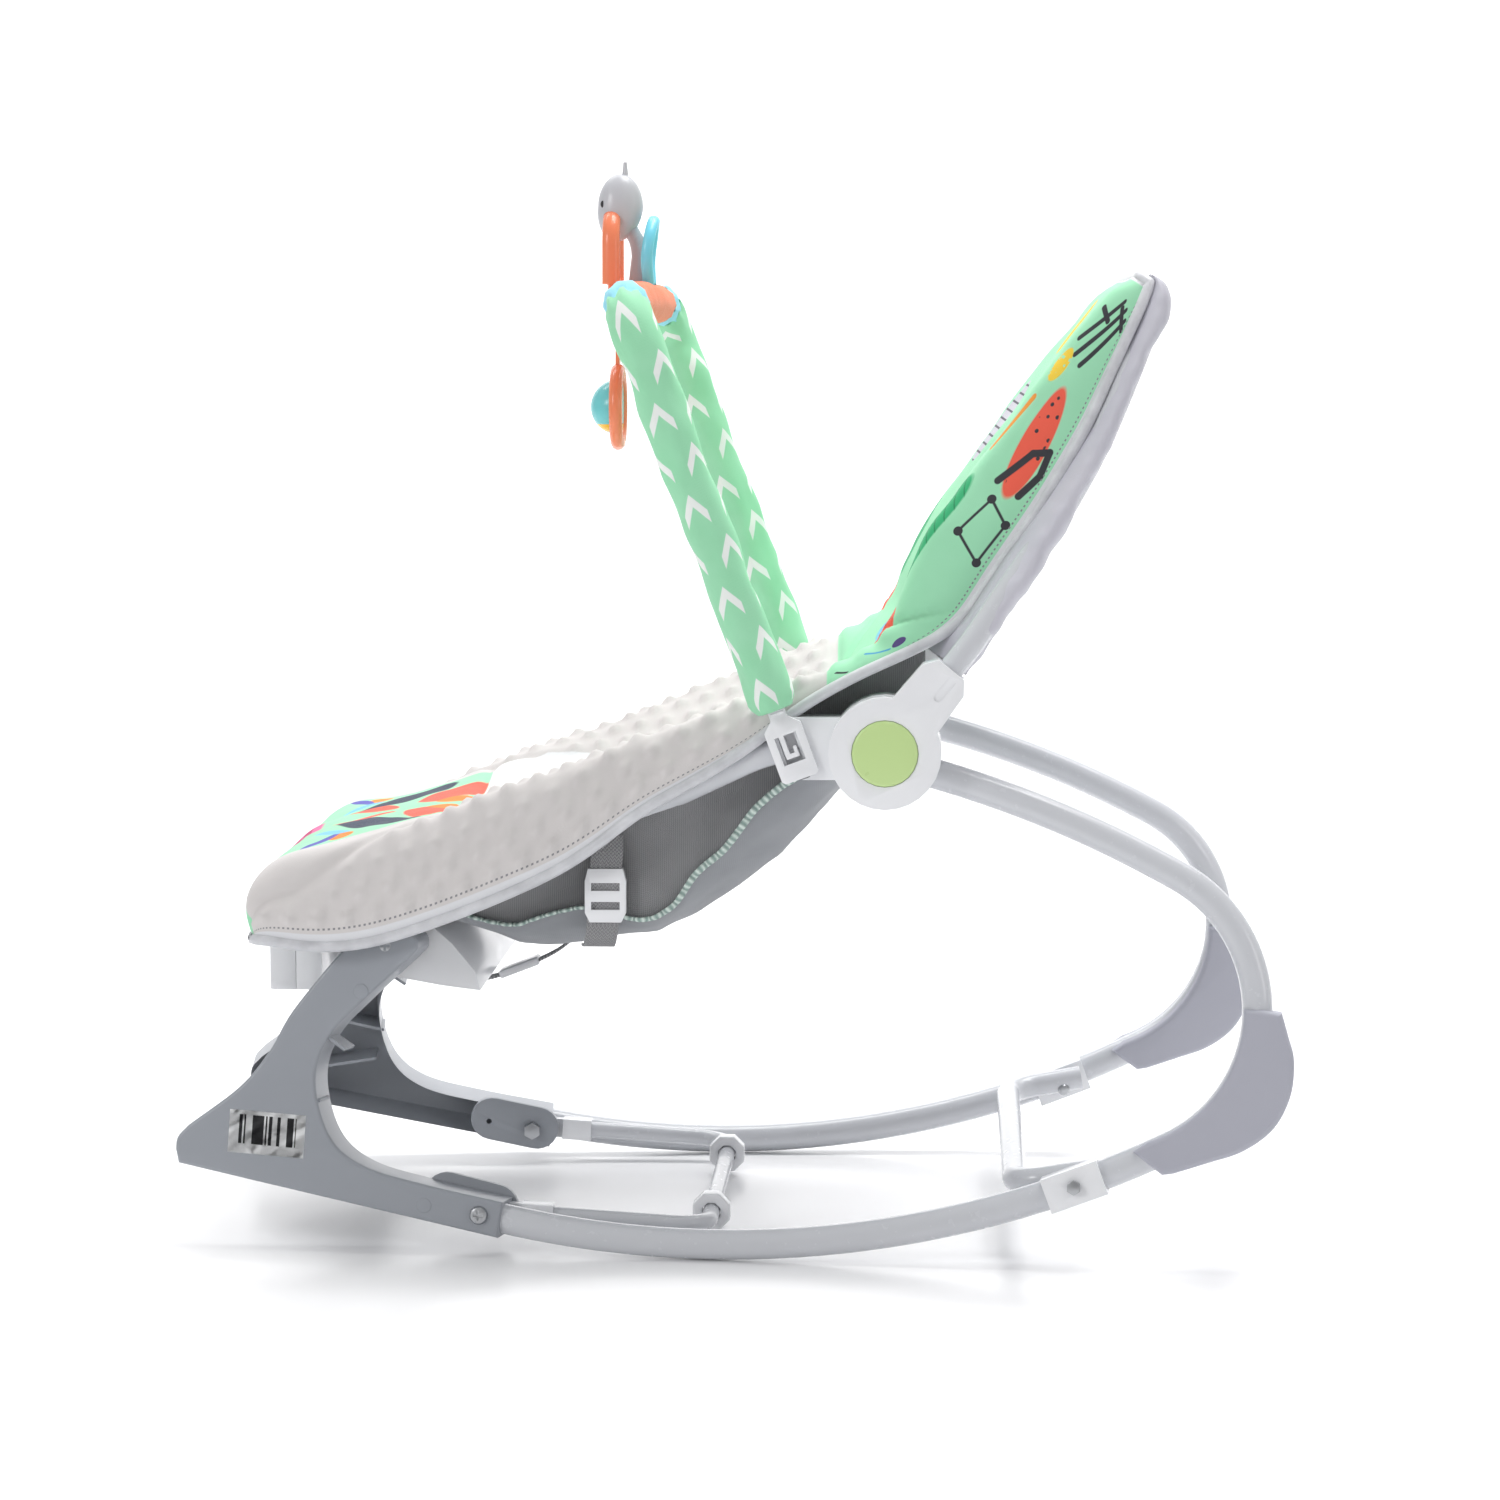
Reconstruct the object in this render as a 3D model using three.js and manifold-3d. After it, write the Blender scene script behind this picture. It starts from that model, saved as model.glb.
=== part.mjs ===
// Infant rocker seat: two bent rocker tubes on moulded front legs, a reclining
// tubular back on push-button hubs, a fold-down kickstand and a plug-in toy bar.
// Millimetres. +X is the head end, +Y across the seat, +Z up; the floor is Z = 0.
import * as THREE from 'three';
import { mergeVertices } from 'three/addons/utils/BufferGeometryUtils.js';
import Module from 'manifold-3d';

const wasm = await Module();
wasm.setup();

const degrees = Math.PI / 180;

// ---- Driving dimensions ----------------------------------------------------
const gap = 0.3; // between pieces that touch
const slack = 0.6; // round pieces that turn or slide

// The side frames lean in at the top and toe in at the front.
const side = { offset: 183.3, toe: 4.69 * degrees, lean: 5.32 * degrees };
const within = (distance) => side.offset - distance; // measured in from the side frames' plane

const tube = { radius: 9.5, wall: 1.4 };
const rocker = { lowX: -13, radius: 650, front: 11.3 * degrees, rear: 26.5 * degrees, plug: 46 };
const bend = { radius: 94, turn: 124.7 * degrees };
const crown = { radius: 700, turn: 14.2 * degrees, plug: 4 };

const leg = { outer: tube.radius + 2.5, inner: -24, wall: 3, bossRadius: 7 };
const pivot = { x: -217, z: 194 }; // top of the leg
const plate = { length: 62, height: 30, thickness: 5.5, screwX: -185 };
const stop = { half: tube.radius + 3, tip: 75, top: 164 };
const clamp = { x: 218, length: 37, height: 2 * tube.radius + 3, cheek: 4 };
const crossbar = { radius: 8, wall: 1.2, x: 181, z: 48, corner: 22 };

const stand = { x: -155, y: within(33.3), barX: -13, barZ: 15, radius: 5.5, wall: 1, corner: 24, arm: 7 };
const foot = { y: stand.y - 50, length: 14, radius: 13 };

const hub = { x: 99, z: 320, radius: 35 };
const plane = side.offset + hub.x * Math.tan(side.toe) - hub.z * Math.tan(side.lean);
hub.inner = plane - tube.radius - 2.1; // inboard face
hub.split = plane + tube.radius + 4.9; // between the half on the frame and the half on the back
hub.outer = hub.split + 16;
const tab = { length: 66, low: 303, high: 341 };
const button = { radius: 20.5, proud: 1.5, flange: 2.2 };
const gear = { radius: 16, thickness: 10, engaged: 3, teeth: 12, depth: 2.6 };
const spring = { wire: 1, radius: 8, turns: 3.5 };
const hubBolt = { radius: 3.5, head: 7 };

const seatTube = { radius: 8.5, wall: 1.2, frontX: -296, frontZ: 203, frontY: within(79.3), corner: 36 };
const seatTubeY = hub.inner + seatTube.radius + 2.5;
const seatBend = { rearX: 26, midX: -128, midY: within(52.3) }; // where the seat tube turns inwards
const backTube = { radius: 8, wall: 1.2, topX: 266, topZ: 596, topY: within(47.3), corner: 58 };
const arm = { length: 66, angle: 51.7 * degrees, width: 34, inner: hub.split - 6 };

const bracket = { half: within(64.3), wall: 3 };
const unit = { x: -289, depth: 34, half: 48, low: 148, high: 191, wall: 2.4 };
const cell = { radius: 7.2, length: 50 };
const motor = { radius: 6, length: 22, shaft: 1, weight: 5.4 };
const works = { x: unit.x + 6, z: unit.low + 18, motorY: 12 }; // cell and motor lie on one line

const arch = { x: 30, z: 352, y: hub.split + 7.5, tilt: 20.4 * degrees, height: 258, radius: 7, wall: 1.5 };
const sleeve = { radius: 14, start: 6 };
const clip = { width: 24, length: 57, thickness: 4, key: 10 };
const keyDepth = hub.split - seatTubeY - seatTube.radius - 2 * gap; // stops short of the seat tube
const toy = { hangX: 17, drop: 68, ring: 24, ringWire: 4.4, dome: 18, pin: 1.5, loop: 19.5, loopWire: 4 };

const pad = { half: within(13.3), skirt: 8, thickness: 14 };
const backPad = { thickness: 14 };
const sling = { thickness: 3 };
const strap = { x: -77, width: 20, thickness: 2, low: 197, high: 265 };
const strapShare = (strap.x - seatBend.midX) / (seatBend.rearX - seatBend.midX);
const strapTubeY = seatBend.midY + (seatTubeY - seatBend.midY) * strapShare;
strap.y = strapTubeY + seatTube.radius + strap.thickness / 2 - 0.4; // hangs on the tube's outside
const buckle = { width: 26, height: 34, thickness: 8, z: 226 };

// ---- Geometry helpers ------------------------------------------------------
function closed(geometry) {
  let g = geometry.clone();
  g.deleteAttribute('normal');
  g.deleteAttribute('uv');
  g = mergeVertices(g, 1e-4);
  const p = g.getAttribute('position');
  const index = g.index.array;
  const [a, b, c] = [new THREE.Vector3(), new THREE.Vector3(), new THREE.Vector3()];
  let volume = 0;
  for (let i = 0; i < index.length; i += 3) {
    a.fromBufferAttribute(p, index[i]);
    b.fromBufferAttribute(p, index[i + 1]);
    c.fromBufferAttribute(p, index[i + 2]);
    volume += a.dot(b.cross(c));
  }
  if (volume < 0) index.reverse(); // faces out
  return g;
}

function solid(geometry) {
  const g = closed(geometry);
  const vertProperties = Float32Array.from(g.getAttribute('position').array);
  const triVerts = Uint32Array.from(g.index.array);
  return new wasm.Manifold(new wasm.Mesh({ numProp: 3, vertProperties, triVerts }));
}

function surface(body) {
  const mesh = body.getMesh();
  const g = new THREE.BufferGeometry();
  g.setAttribute('position', new THREE.BufferAttribute(mesh.vertProperties, 3));
  g.setIndex(new THREE.BufferAttribute(mesh.triVerts, 1));
  return g;
}

const cut = (base, ...tools) => surface(tools.reduce((s, t) => s.subtract(solid(t)), solid(base)));
const join = (...parts) => surface(parts.slice(1).reduce((s, t) => s.add(solid(t)), solid(parts[0])));

// A plate whose outline lies in XZ, from one Y to another.
function prism(shape, from, to, curveSegments = 6) {
  const g = new THREE.ExtrudeGeometry(shape, { depth: to - from, bevelEnabled: false, curveSegments });
  return g.rotateX(Math.PI / 2).translate(0, to, 0);
}

const outline = (points) => new THREE.Shape(points.map(([x, z]) => new THREE.Vector2(x, z)));

// A round piece turned about an axis along Y through (x, z); the profile is [radius, y] pairs.
function turned(profile, x, z, segments = 12) {
  const points = profile.map(([r, y]) => new THREE.Vector2(r, y));
  return new THREE.LatheGeometry(points, segments).translate(x, 0, z);
}

const pin = (radius, from, to, x, z, segments = 10) =>
  turned([[0, from], [radius, from], [radius, to], [0, to]], x, z, segments);

const box = (x0, x1, y0, y1, z0, z1) =>
  new THREE.BoxGeometry(x1 - x0, y1 - y0, z1 - z0)
    .translate((x0 + x1) / 2, (y0 + y1) / 2, (z0 + z1) / 2);

function circle(radius, sides, hole = 0, holeSides = 6) {
  const ring = (r, n) => Array.from({ length: n }, (_, i) =>
    new THREE.Vector2(r * Math.cos((2 * Math.PI * i) / n), r * Math.sin((2 * Math.PI * i) / n)));
  const shape = new THREE.Shape(ring(radius, sides));
  if (hole) shape.holes.push(new THREE.Path(ring(hole, holeSides)));
  return shape;
}

// Straights and arcs joined end to end, walked in equal shares of each piece's own steps.
class BentPath extends THREE.Curve {
  constructor(pieces) {
    super();
    this.pieces = pieces;
    this.steps = pieces.reduce((n, p) => n + p.steps, 0);
  }
  locate(t) {
    let s = THREE.MathUtils.clamp(t, 0, 1) * this.steps;
    let i = 0;
    while (i < this.pieces.length - 1 && s > this.pieces[i].steps) s -= this.pieces[i++].steps;
    return [this.pieces[i], s / this.pieces[i].steps];
  }
  getPoint(t, target = new THREE.Vector3()) {
    const [piece, share] = this.locate(t);
    return target.copy(piece.at(share));
  }
  getPointAt(t, target) {
    return this.getPoint(t, target);
  }
  getTangentAt(t, target = new THREE.Vector3()) {
    const [piece, share] = this.locate(t);
    return target.copy(piece.along(share));
  }
}

function straightPiece(a, b, steps = 1) {
  const along = b.clone().sub(a).normalize();
  return { steps, at: (s) => a.clone().lerp(b, s), along: () => along };
}

function arcPiece(centre, from, tangent, turn, steps) {
  const radial = from.clone().sub(centre);
  const swing = tangent.clone().multiplyScalar(radial.length());
  return {
    steps,
    at: (s) => centre.clone().addScaledVector(radial, Math.cos(turn * s))
      .addScaledVector(swing, Math.sin(turn * s)),
    along: (s) => swing.clone().multiplyScalar(Math.cos(turn * s))
      .addScaledVector(radial, -Math.sin(turn * s)).normalize(),
  };
}

// A polyline of [x, y, z, cornerRadius, cornerSteps] points with its corners rounded.
function roundedPath(points) {
  const v = points.map(([x, y, z]) => new THREE.Vector3(x, y, z));
  const pieces = [];
  let last = v[0];
  for (let i = 1; i < v.length - 1; i++) {
    const [radius, steps] = [points[i][3], points[i][4]];
    const into = v[i].clone().sub(v[i - 1]).normalize();
    const out = v[i + 1].clone().sub(v[i]).normalize();
    const turn = into.angleTo(out);
    const start = v[i].clone().addScaledVector(into, -radius * Math.tan(turn / 2));
    const inward = out.clone().addScaledVector(into, -out.dot(into)).normalize();
    const arc = arcPiece(start.clone().addScaledVector(inward, radius), start, into, turn, steps);
    pieces.push(straightPiece(last, start), arc);
    last = arc.at(1);
  }
  pieces.push(straightPiece(last, v.at(-1)));
  return new BentPath(pieces);
}

const mirrored = (points) => [...points, ...points.slice().reverse().map(([x, y, ...r]) => [x, -y, ...r])];

function sweep(shape, path) {
  return new THREE.ExtrudeGeometry(shape, { steps: path.steps, bevelEnabled: false, extrudePath: path });
}

// ---- The shape of a side frame, in its own plane ---------------------------
// Local x and z lie in the leaning plane; local y points outward from the tube's centre.
const sideFrame = new THREE.Object3D();
sideFrame.position.y = side.offset;
sideFrame.rotation.set(side.lean, 0, side.toe, 'ZYX');
sideFrame.updateMatrix();

const rockerHeight = (x) =>
  rocker.radius + tube.radius + 0.5 - Math.sqrt(rocker.radius ** 2 - (x - rocker.lowX) ** 2);
const rockerSlope = (x) => Math.asin((x - rocker.lowX) / rocker.radius);
const acrossSide = (x, z) => side.offset + x * Math.tan(side.toe) - z * Math.tan(side.lean);

// Heading 0 runs along +x and turns towards +z.
function rockerPath() {
  const heading = (a) => new THREE.Vector3(Math.cos(a), 0, Math.sin(a));
  const left = (a) => new THREE.Vector3(-Math.sin(a), 0, Math.cos(a));
  const startX = rocker.lowX - rocker.radius * Math.sin(rocker.front);
  let angle = -rocker.front;
  let point = new THREE.Vector3(startX, 0, rockerHeight(startX));
  const pieces = [];
  const straight = (length) => {
    const next = point.clone().addScaledVector(heading(angle), length);
    pieces.push(straightPiece(point, next));
    point = next;
  };
  const arc = (radius, turn, steps) => {
    const centre = point.clone().addScaledVector(left(angle), radius);
    pieces.push(arcPiece(centre, point, heading(angle), turn, steps));
    point = pieces.at(-1).at(1);
    angle += turn;
  };
  point.addScaledVector(heading(angle), -rocker.plug);
  straight(rocker.plug);
  arc(rocker.radius, rocker.front + rocker.rear, 10);
  arc(bend.radius, bend.turn, 8);
  arc(crown.radius, crown.turn, 2);
  straight(crown.plug);
  return new BentPath(pieces);
}

const rockerCentre = rockerPath();
const rockerEnvelope = sweep(circle(tube.radius + gap, 12), rockerCentre);

// ---- Side frame pieces -----------------------------------------------------
const standHole = (radius, from = -60, to = 40) => pin(radius, from, to, stand.x, rockerHeight(stand.x), 8);
const clampHole = (radius) => pin(radius, -60, 40, clamp.x, rockerHeight(clamp.x), 8);

function rockerTube() {
  const pipe = sweep(circle(tube.radius, 12, tube.radius - tube.wall), rockerCentre);
  return cut(pipe, standHole(3 + gap), clampHole(2.5 + gap));
}

function legOutline() {
  const s = new THREE.Shape();
  s.moveTo(-349, 54);
  s.quadraticCurveTo(-355, 66, -343, 78);
  s.splineThru([[-310, 103], [-291, 126], [-276, 152], [-245, 190]].map(([x, z]) => new THREE.Vector2(x, z)));
  s.quadraticCurveTo(-222, 210, -206, 207);
  s.quadraticCurveTo(-192, 202, -201, 187);
  s.splineThru([[-231, 159], [-253, 135], [-261, 108], [-252, 74], [-230, 55], [-190, 44]]
    .map(([x, z]) => new THREE.Vector2(x, z)));
  s.lineTo(-140, 34);
  s.lineTo(-143, 11.5);
  return s;
}

// The same outline moved inward by a wall, from each corner's two edge normals.
function inset(shape, wall) {
  const p = shape.getPoints(2);
  if (p[0].distanceTo(p.at(-1)) < 1e-6) p.pop();
  const normal = (a, b) => new THREE.Vector2(a.y - b.y, b.x - a.x).normalize();
  const inward = THREE.ShapeUtils.isClockWise(p) ? -wall : wall;
  return new THREE.Shape(p.map((point, i) => {
    const before = normal(p.at(i - 1), point);
    const after = normal(point, p[(i + 1) % p.length]);
    const mean = before.clone().add(after).normalize();
    return point.clone().addScaledVector(mean, inward / Math.max(0.5, mean.dot(after)));
  }));
}

// Moulded hollow leg, open towards the other leg, with a socket block round the tube.
function legShell() {
  const shell = cut(prism(legOutline(), leg.inner, leg.outer, 2),
    prism(inset(legOutline(), leg.wall), leg.inner - 1, leg.outer - leg.wall));
  const socket = surface(solid(prism(inset(legOutline(), 1), -10.8, leg.outer - 1))
    .intersect(solid(box(-196, -120, -20, 20, 0, 60))));
  const bosses = [[pivot.x, pivot.z, leg.bossRadius], [plate.screwX, plateZ(plate.screwX), 5]]
    .map(([x, z, r]) => pin(r, leg.inner, leg.outer - 1, x, z));
  const ribs = [[-322, 66, -268, 74], [-296, 104, -262, 96], [-272, 148, -246, 130]]
    .map(([x0, z0, x1, z1]) => rib(x0, z0, x1, z1));
  const body = join(shell, socket, ...bosses, ...ribs);
  return cut(body, rockerEnvelope, standHole(3 + gap), box(-170, -120, -40, -10.8, -10, 70),
    pin(3 + gap, -40, 40, pivot.x, pivot.z), pin(6.2, leg.outer - 2.5, 40, pivot.x, pivot.z),
    pin(1.6, -40, 0, plate.screwX, plateZ(plate.screwX), 8));
}

function rib(x0, z0, x1, z1) {
  const length = Math.hypot(x1 - x0, z1 - z0);
  return new THREE.BoxGeometry(length + 8, leg.outer - 1 - leg.inner - 6, 2)
    .rotateY(-Math.atan2(z1 - z0, x1 - x0))
    .translate((x0 + x1) / 2, (leg.outer - 1 + leg.inner + 6) / 2, (z0 + z1) / 2);
}

const plateZ = (x) => rockerHeight(stand.x) + (x - stand.x) * Math.tan(rockerSlope(stand.x)) * 0.9;

function stadium(length, height, x, z, angle) {
  const r = height / 2;
  const s = new THREE.Shape();
  s.absarc(length / 2 - r, 0, r, -Math.PI / 2, Math.PI / 2);
  s.absarc(-length / 2 + r, 0, r, Math.PI / 2, 1.5 * Math.PI);
  return prism(s, 0, 1, 6).rotateY(-angle).translate(x, 0, z);
}

// Kickstand hinge plate on the inboard face of the leg.
function legPlate() {
  const x = stand.x - 12;
  const body = stadium(plate.length, plate.height, x, plateZ(x) + 2, rockerSlope(stand.x))
    .scale(1, plate.thickness, 1).translate(0, leg.inner - gap - plate.thickness, 0);
  return cut(body, standHole(3 + gap), pin(2, -60, 0, plate.screwX, plateZ(plate.screwX), 8));
}

// Rubbery fin on the outside of the rear bend, which stops the rocker tipping back.
function rearStop() {
  const reach = rocker.radius - bend.radius;
  const centre = { x: rocker.lowX + reach * Math.sin(rocker.rear),
    z: rockerHeight(rocker.lowX) + rocker.radius - reach * Math.cos(rocker.rear) };
  const s = new THREE.Shape();
  s.moveTo(254, stop.tip);
  s.lineTo(272, stop.tip - 14);
  s.lineTo(279, stop.tip - 13);
  s.lineTo(322, stop.tip + 2);
  s.quadraticCurveTo(356, 96, 352, 132);
  s.lineTo(344, stop.top - 1);
  s.lineTo(320, stop.top);
  s.absarc(centre.x, centre.z, bend.radius - tube.radius + 1.5, 0, -72 * degrees, true);
  return cut(prism(s, -stop.half, stop.half, 5), rockerEnvelope);
}

function crossbarClamp() {
  const half = tube.radius + gap + clamp.cheek;
  const body = new THREE.BoxGeometry(clamp.length, 2 * half, clamp.height)
    .rotateY(-rockerSlope(clamp.x)).translate(clamp.x, 0, rockerHeight(clamp.x));
  return cut(body, rockerEnvelope, clampHole(2.5 + gap));
}

// Hexagon head outside, round head with a cross recess inside.
function clampBolt() {
  const [x, z] = [clamp.x, rockerHeight(clamp.x)];
  const outer = tube.radius + 2 * gap + clamp.cheek;
  const inner = -outer - 2 * crossbar.radius - 2 * gap; // beyond the cross tube
  const hexagon = pin(4.6, outer, outer + 4, x, z, 6);
  return join(hexagon, pin(2.5, inner - 1, outer + 1, x, z, 12),
    turned([[0, inner - 2.5], [3, inner - 2], [4.5, inner], [0, inner]], x, z, 12));
}

// Pivot of the kickstand: pan head outside the leg, hexagon boss inside the plate.
function kickstandBolt() {
  const [x, z] = [stand.x, rockerHeight(stand.x)];
  const inner = leg.inner - 2 * gap - plate.thickness;
  const head = turned([[0, leg.outer + gap], [6, leg.outer + gap], [5, leg.outer + 2.5],
    [0, leg.outer + 3.2]], x, z);
  const body = join(head, pin(3, inner - 1, leg.outer + 1, x, z, 12), pin(6, inner - 5, inner, x, z, 6));
  return cut(body, ...crossRecess(leg.outer + 1.6, 20, x, z));
}

function crossRecess(from, to, x, z) {
  return [box(x - 3, x + 3, from, to, z - 0.7, z + 0.7), box(x - 0.7, x + 0.7, from, to, z - 3, z + 3)];
}

function pivotScrew() {
  const seat = leg.outer - 2.5 + gap;
  const head = turned([[0, seat], [5.8, seat], [5, seat + 2], [0, seat + 2.8]], pivot.x, pivot.z);
  const body = join(head, pin(3, leg.inner - 16, seat + 1, pivot.x, pivot.z, 12));
  return cut(body, ...crossRecess(seat + 1.3, 20, pivot.x, pivot.z));
}

// ---- Pieces in the object's own axes, drawn for the +Y side -----------------
const onSide = (geometry) => geometry.clone().applyMatrix4(sideFrame.matrix);
const mirror = (geometry) => geometry.clone().scale(1, -1, 1);
const bothSides = (geometry) => [geometry, mirror(geometry)];

function crossbarPath() {
  const start = clamp.x + 14;
  const yAt = (x, z) => acrossSide(x, z) - tube.radius - clamp.cheek - 2 * gap - crossbar.radius - 0.6;
  return roundedPath(mirrored([[start, yAt(start, 57), 57],
    [crossbar.x, yAt(crossbar.x, crossbar.z), crossbar.z, crossbar.corner, 3]]));
}

function rearCrossbar() {
  const pipe = sweep(circle(crossbar.radius, 10, crossbar.radius - crossbar.wall, 5), crossbarPath());
  return cut(pipe, ...bothSides(onSide(clampHole(2.5 + gap))));
}

// Where the leaning bolt passes the middle of the kickstand's flat end.
const boltLine = [0, -30].map((y) =>
  new THREE.Vector3(stand.x, y, rockerHeight(stand.x)).applyMatrix4(sideFrame.matrix));
const standPivot = boltLine[0].clone()
  .lerp(boltLine[1], (boltLine[0].y - stand.y) / (boltLine[0].y - boltLine[1].y));

// The kickstand slopes down from its pivot to the cross tube near the floor.
const standPitch = Math.atan2(standPivot.z - stand.barZ, stand.barX - standPivot.x);

function kickstandPath() {
  const start = 28;
  return roundedPath(mirrored([
    [standPivot.x + start, stand.y, standPivot.z - start * Math.tan(standPitch)],
    [stand.barX, stand.y, stand.barZ, stand.corner, 4]]));
}

const kickstandTube = () =>
  sweep(circle(stand.radius, 8, stand.radius - stand.wall, 5), kickstandPath());

function kickstandEnd() {
  const [low, high] = [stand.y - stand.arm / 2, stand.y + stand.arm / 2];
  const flat = join(pin(6.5, low, high, 0, 0, 16), box(0, 24, low, high, -6.5, 6.5),
    box(22, 42, stand.y - 7, stand.y + 7, -7, 7));
  const bore = pin(3 + slack + gap, low - 1, high + 1, 0, 0, 12); // wide enough for the bolt's lean
  return cut(cut(flat, bore).rotateY(standPitch).translate(standPivot.x, 0, standPivot.z),
    sweep(circle(stand.radius + gap, 8), kickstandPath()));
}

function kickstandFoot() {
  const bore = (stand.radius + gap) / Math.cos(Math.PI / 8) + 0.1;
  const [from, to, r] = [foot.y - foot.length / 2, foot.y + foot.length / 2, foot.radius];
  const profile = [[bore, from], [r - 1, from], [r, from + 1], [r, to - 1], [r - 1, to], [bore, to],
    [bore, from]];
  return turned(profile, 0, 0, 8).rotateY(Math.PI / 8).translate(stand.barX, 0, stand.barZ);
}

// ---- Seat and back tubes ---------------------------------------------------
const seatPath = roundedPath(mirrored([
  [hub.x - 21, seatTubeY, hub.z + 5],
  [seatBend.rearX, seatTubeY, hub.z - 1, 90, 2],
  [seatBend.midX, seatBend.midY, 244, 300, 2],
  [-215, within(71.3), 212, 200, 1],
  [seatTube.frontX, seatTube.frontY, seatTube.frontZ, seatTube.corner, 4],
]));
const seatEnvelope = sweep(circle(seatTube.radius + gap, 10), seatPath);
const seatPipe = () => sweep(circle(seatTube.radius, 10, seatTube.radius - seatTube.wall, 5), seatPath);

const armY = (arm.inner + hub.outer) / 2;
const backPath = roundedPath(mirrored([
  [hub.x + 42 * Math.cos(arm.angle), armY, hub.z + 42 * Math.sin(arm.angle)],
  [hub.x + 86 * Math.cos(arm.angle), armY - 4, hub.z + 86 * Math.sin(arm.angle), 90, 2],
  [225, within(31.3), 494, 420, 2],
  [backTube.topX, backTube.topY, backTube.topZ, backTube.corner, 5],
]));
const backEnvelope = sweep(circle(backTube.radius + gap, 10), backPath);
const backPipe = () => sweep(circle(backTube.radius, 10, backTube.radius - backTube.wall, 5), backPath);

// ---- Recline hub -----------------------------------------------------------
const hubPin = (radius, from, to, segments = 24) => pin(radius, from, to, hub.x, hub.z, segments);

function gearOutline(radius) {
  const shape = new THREE.Shape();
  for (let i = 0; i < gear.teeth; i++) {
    const at = (share, r) => {
      const a = (2 * Math.PI * (i + share)) / gear.teeth;
      return [hub.x + r * Math.cos(a), hub.z + r * Math.sin(a)];
    };
    const root = radius - gear.depth;
    const corners = [at(0.1, root), at(0.3, radius), at(0.6, radius), at(0.8, root)];
    corners.forEach(([x, z], k) => (i + k === 0 ? shape.moveTo(x, z) : shape.lineTo(x, z)));
  }
  return shape;
}

const gearTop = hub.split + gear.engaged;
const web = gearTop + gap; // the cover's partition between the lock gear and the button
const pocket = web + 2.4;

// Hub half fixed to the rocker tube and the seat tube, with a tab for the toy bar.
function hubBase() {
  const left = hub.x - tab.length;
  const tabShape = outline([[left - 5, tab.high - 7], [left, tab.high], [hub.x - 8, tab.high],
    [hub.x - 8, tab.low - 1], [left + 7, tab.low - 1], [left + 4, tab.low + 5]]);
  const face = hub.split - gap / 2;
  const body = join(hubPin(hub.radius, hub.inner, face, 28), prism(tabShape, hub.inner + 2, face));
  const groove = alongArch(box(-clip.key / 2 - gap, clip.key / 2 + gap, face - keyDepth - gap,
    hub.outer, -1, 90));
  return cut(body, onSide(rockerEnvelope), seatEnvelope, groove,
    hubPin(gear.radius + slack, hub.inner + 5, hub.outer), hubPin(hubBolt.radius + gap, 0, hub.outer + 8, 8));
}

// Hub half that carries the back: a toothed cavity, a web, the button's pocket and the arm.
function hubCover() {
  const face = hub.split + gap / 2;
  const along = (r, w) => [hub.x + r * Math.cos(arm.angle) - w * Math.sin(arm.angle),
    hub.z + r * Math.sin(arm.angle) + w * Math.cos(arm.angle)];
  const near = arm.width / 2 + 2;
  const far = arm.width / 2 - 4;
  const armShape = outline([along(0, near), along(arm.length - 8, far + 3), along(arm.length, far - 3),
    along(arm.length, -far + 3), along(arm.length - 8, -far - 3), along(0, -near)]);
  const thick = outline([along(hub.radius + 2, near - 2), along(arm.length - 8, far + 3),
    along(arm.length, far - 3), along(arm.length, -far + 3), along(arm.length - 8, -far - 3),
    along(hub.radius + 2, -near + 2)]);
  const body = join(hubPin(hub.radius, face, hub.outer, 28), prism(armShape, face, hub.outer),
    prism(thick, arm.inner, hub.outer));
  const [slotX, slotZ] = along(arm.length - 12, -4);
  const slot = stadium(18, 6, slotX, slotZ, arm.angle).scale(1, 1.2, 1).translate(0, hub.outer - 1, 0);
  const legs = buttonLegs(2.2 + gap, web - 1, pocket + 1);
  return cut(body, backEnvelope, slot, prism(gearOutline(gear.radius + gap), face - 1, web),
    hubPin(button.radius + button.flange + gap, pocket, hub.outer - 2.6),
    hubPin(button.radius + gap, pocket, hub.outer + 1),
    hubPin(hubBolt.radius + gap, 0, hub.outer + 8, 8), ...legs);
}

function buttonLegs(radius, from, to) {
  return [0, 1, 2].map((i) => {
    const a = (2 * Math.PI * i) / 3 + 0.5;
    return pin(radius, from, to, hub.x + 10 * Math.cos(a), hub.z + 10 * Math.sin(a), 6);
  });
}

// Round push button with a retaining flange and three legs that reach the lock gear.
function reclineButton() {
  const top = hub.outer + button.proud;
  const under = hub.outer - 1;
  const r = button.radius;
  const flangeTop = hub.outer - 2.6 - gap;
  const cap = turned([[0, under], [r - 3, under], [r - 3, flangeTop - 2.2],
    [r + button.flange, flangeTop - 2.2], [r + button.flange, flangeTop], [r, flangeTop], [r, top - 1],
    [r - 1.2, top], [0, top + 0.6]], hub.x, hub.z, 24);
  return join(cap, ...buttonLegs(2.2, gearTop + gap, under + 0.5));
}

function lockGear() {
  return cut(prism(gearOutline(gear.radius), gearTop - gear.thickness, gearTop),
    hubPin(hubBolt.radius + slack, 0, hub.outer + 8, 8));
}

class Helix extends THREE.Curve {
  getPoint(t, target = new THREE.Vector3()) {
    const a = 2 * Math.PI * spring.turns * t;
    const [low, high] = [hub.inner + 5 + gap + spring.wire, gearTop - gear.thickness - gap - spring.wire];
    return target.set(hub.x + spring.radius * Math.cos(a), low + (high - low) * t,
      hub.z + spring.radius * Math.sin(a));
  }
}

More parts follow.
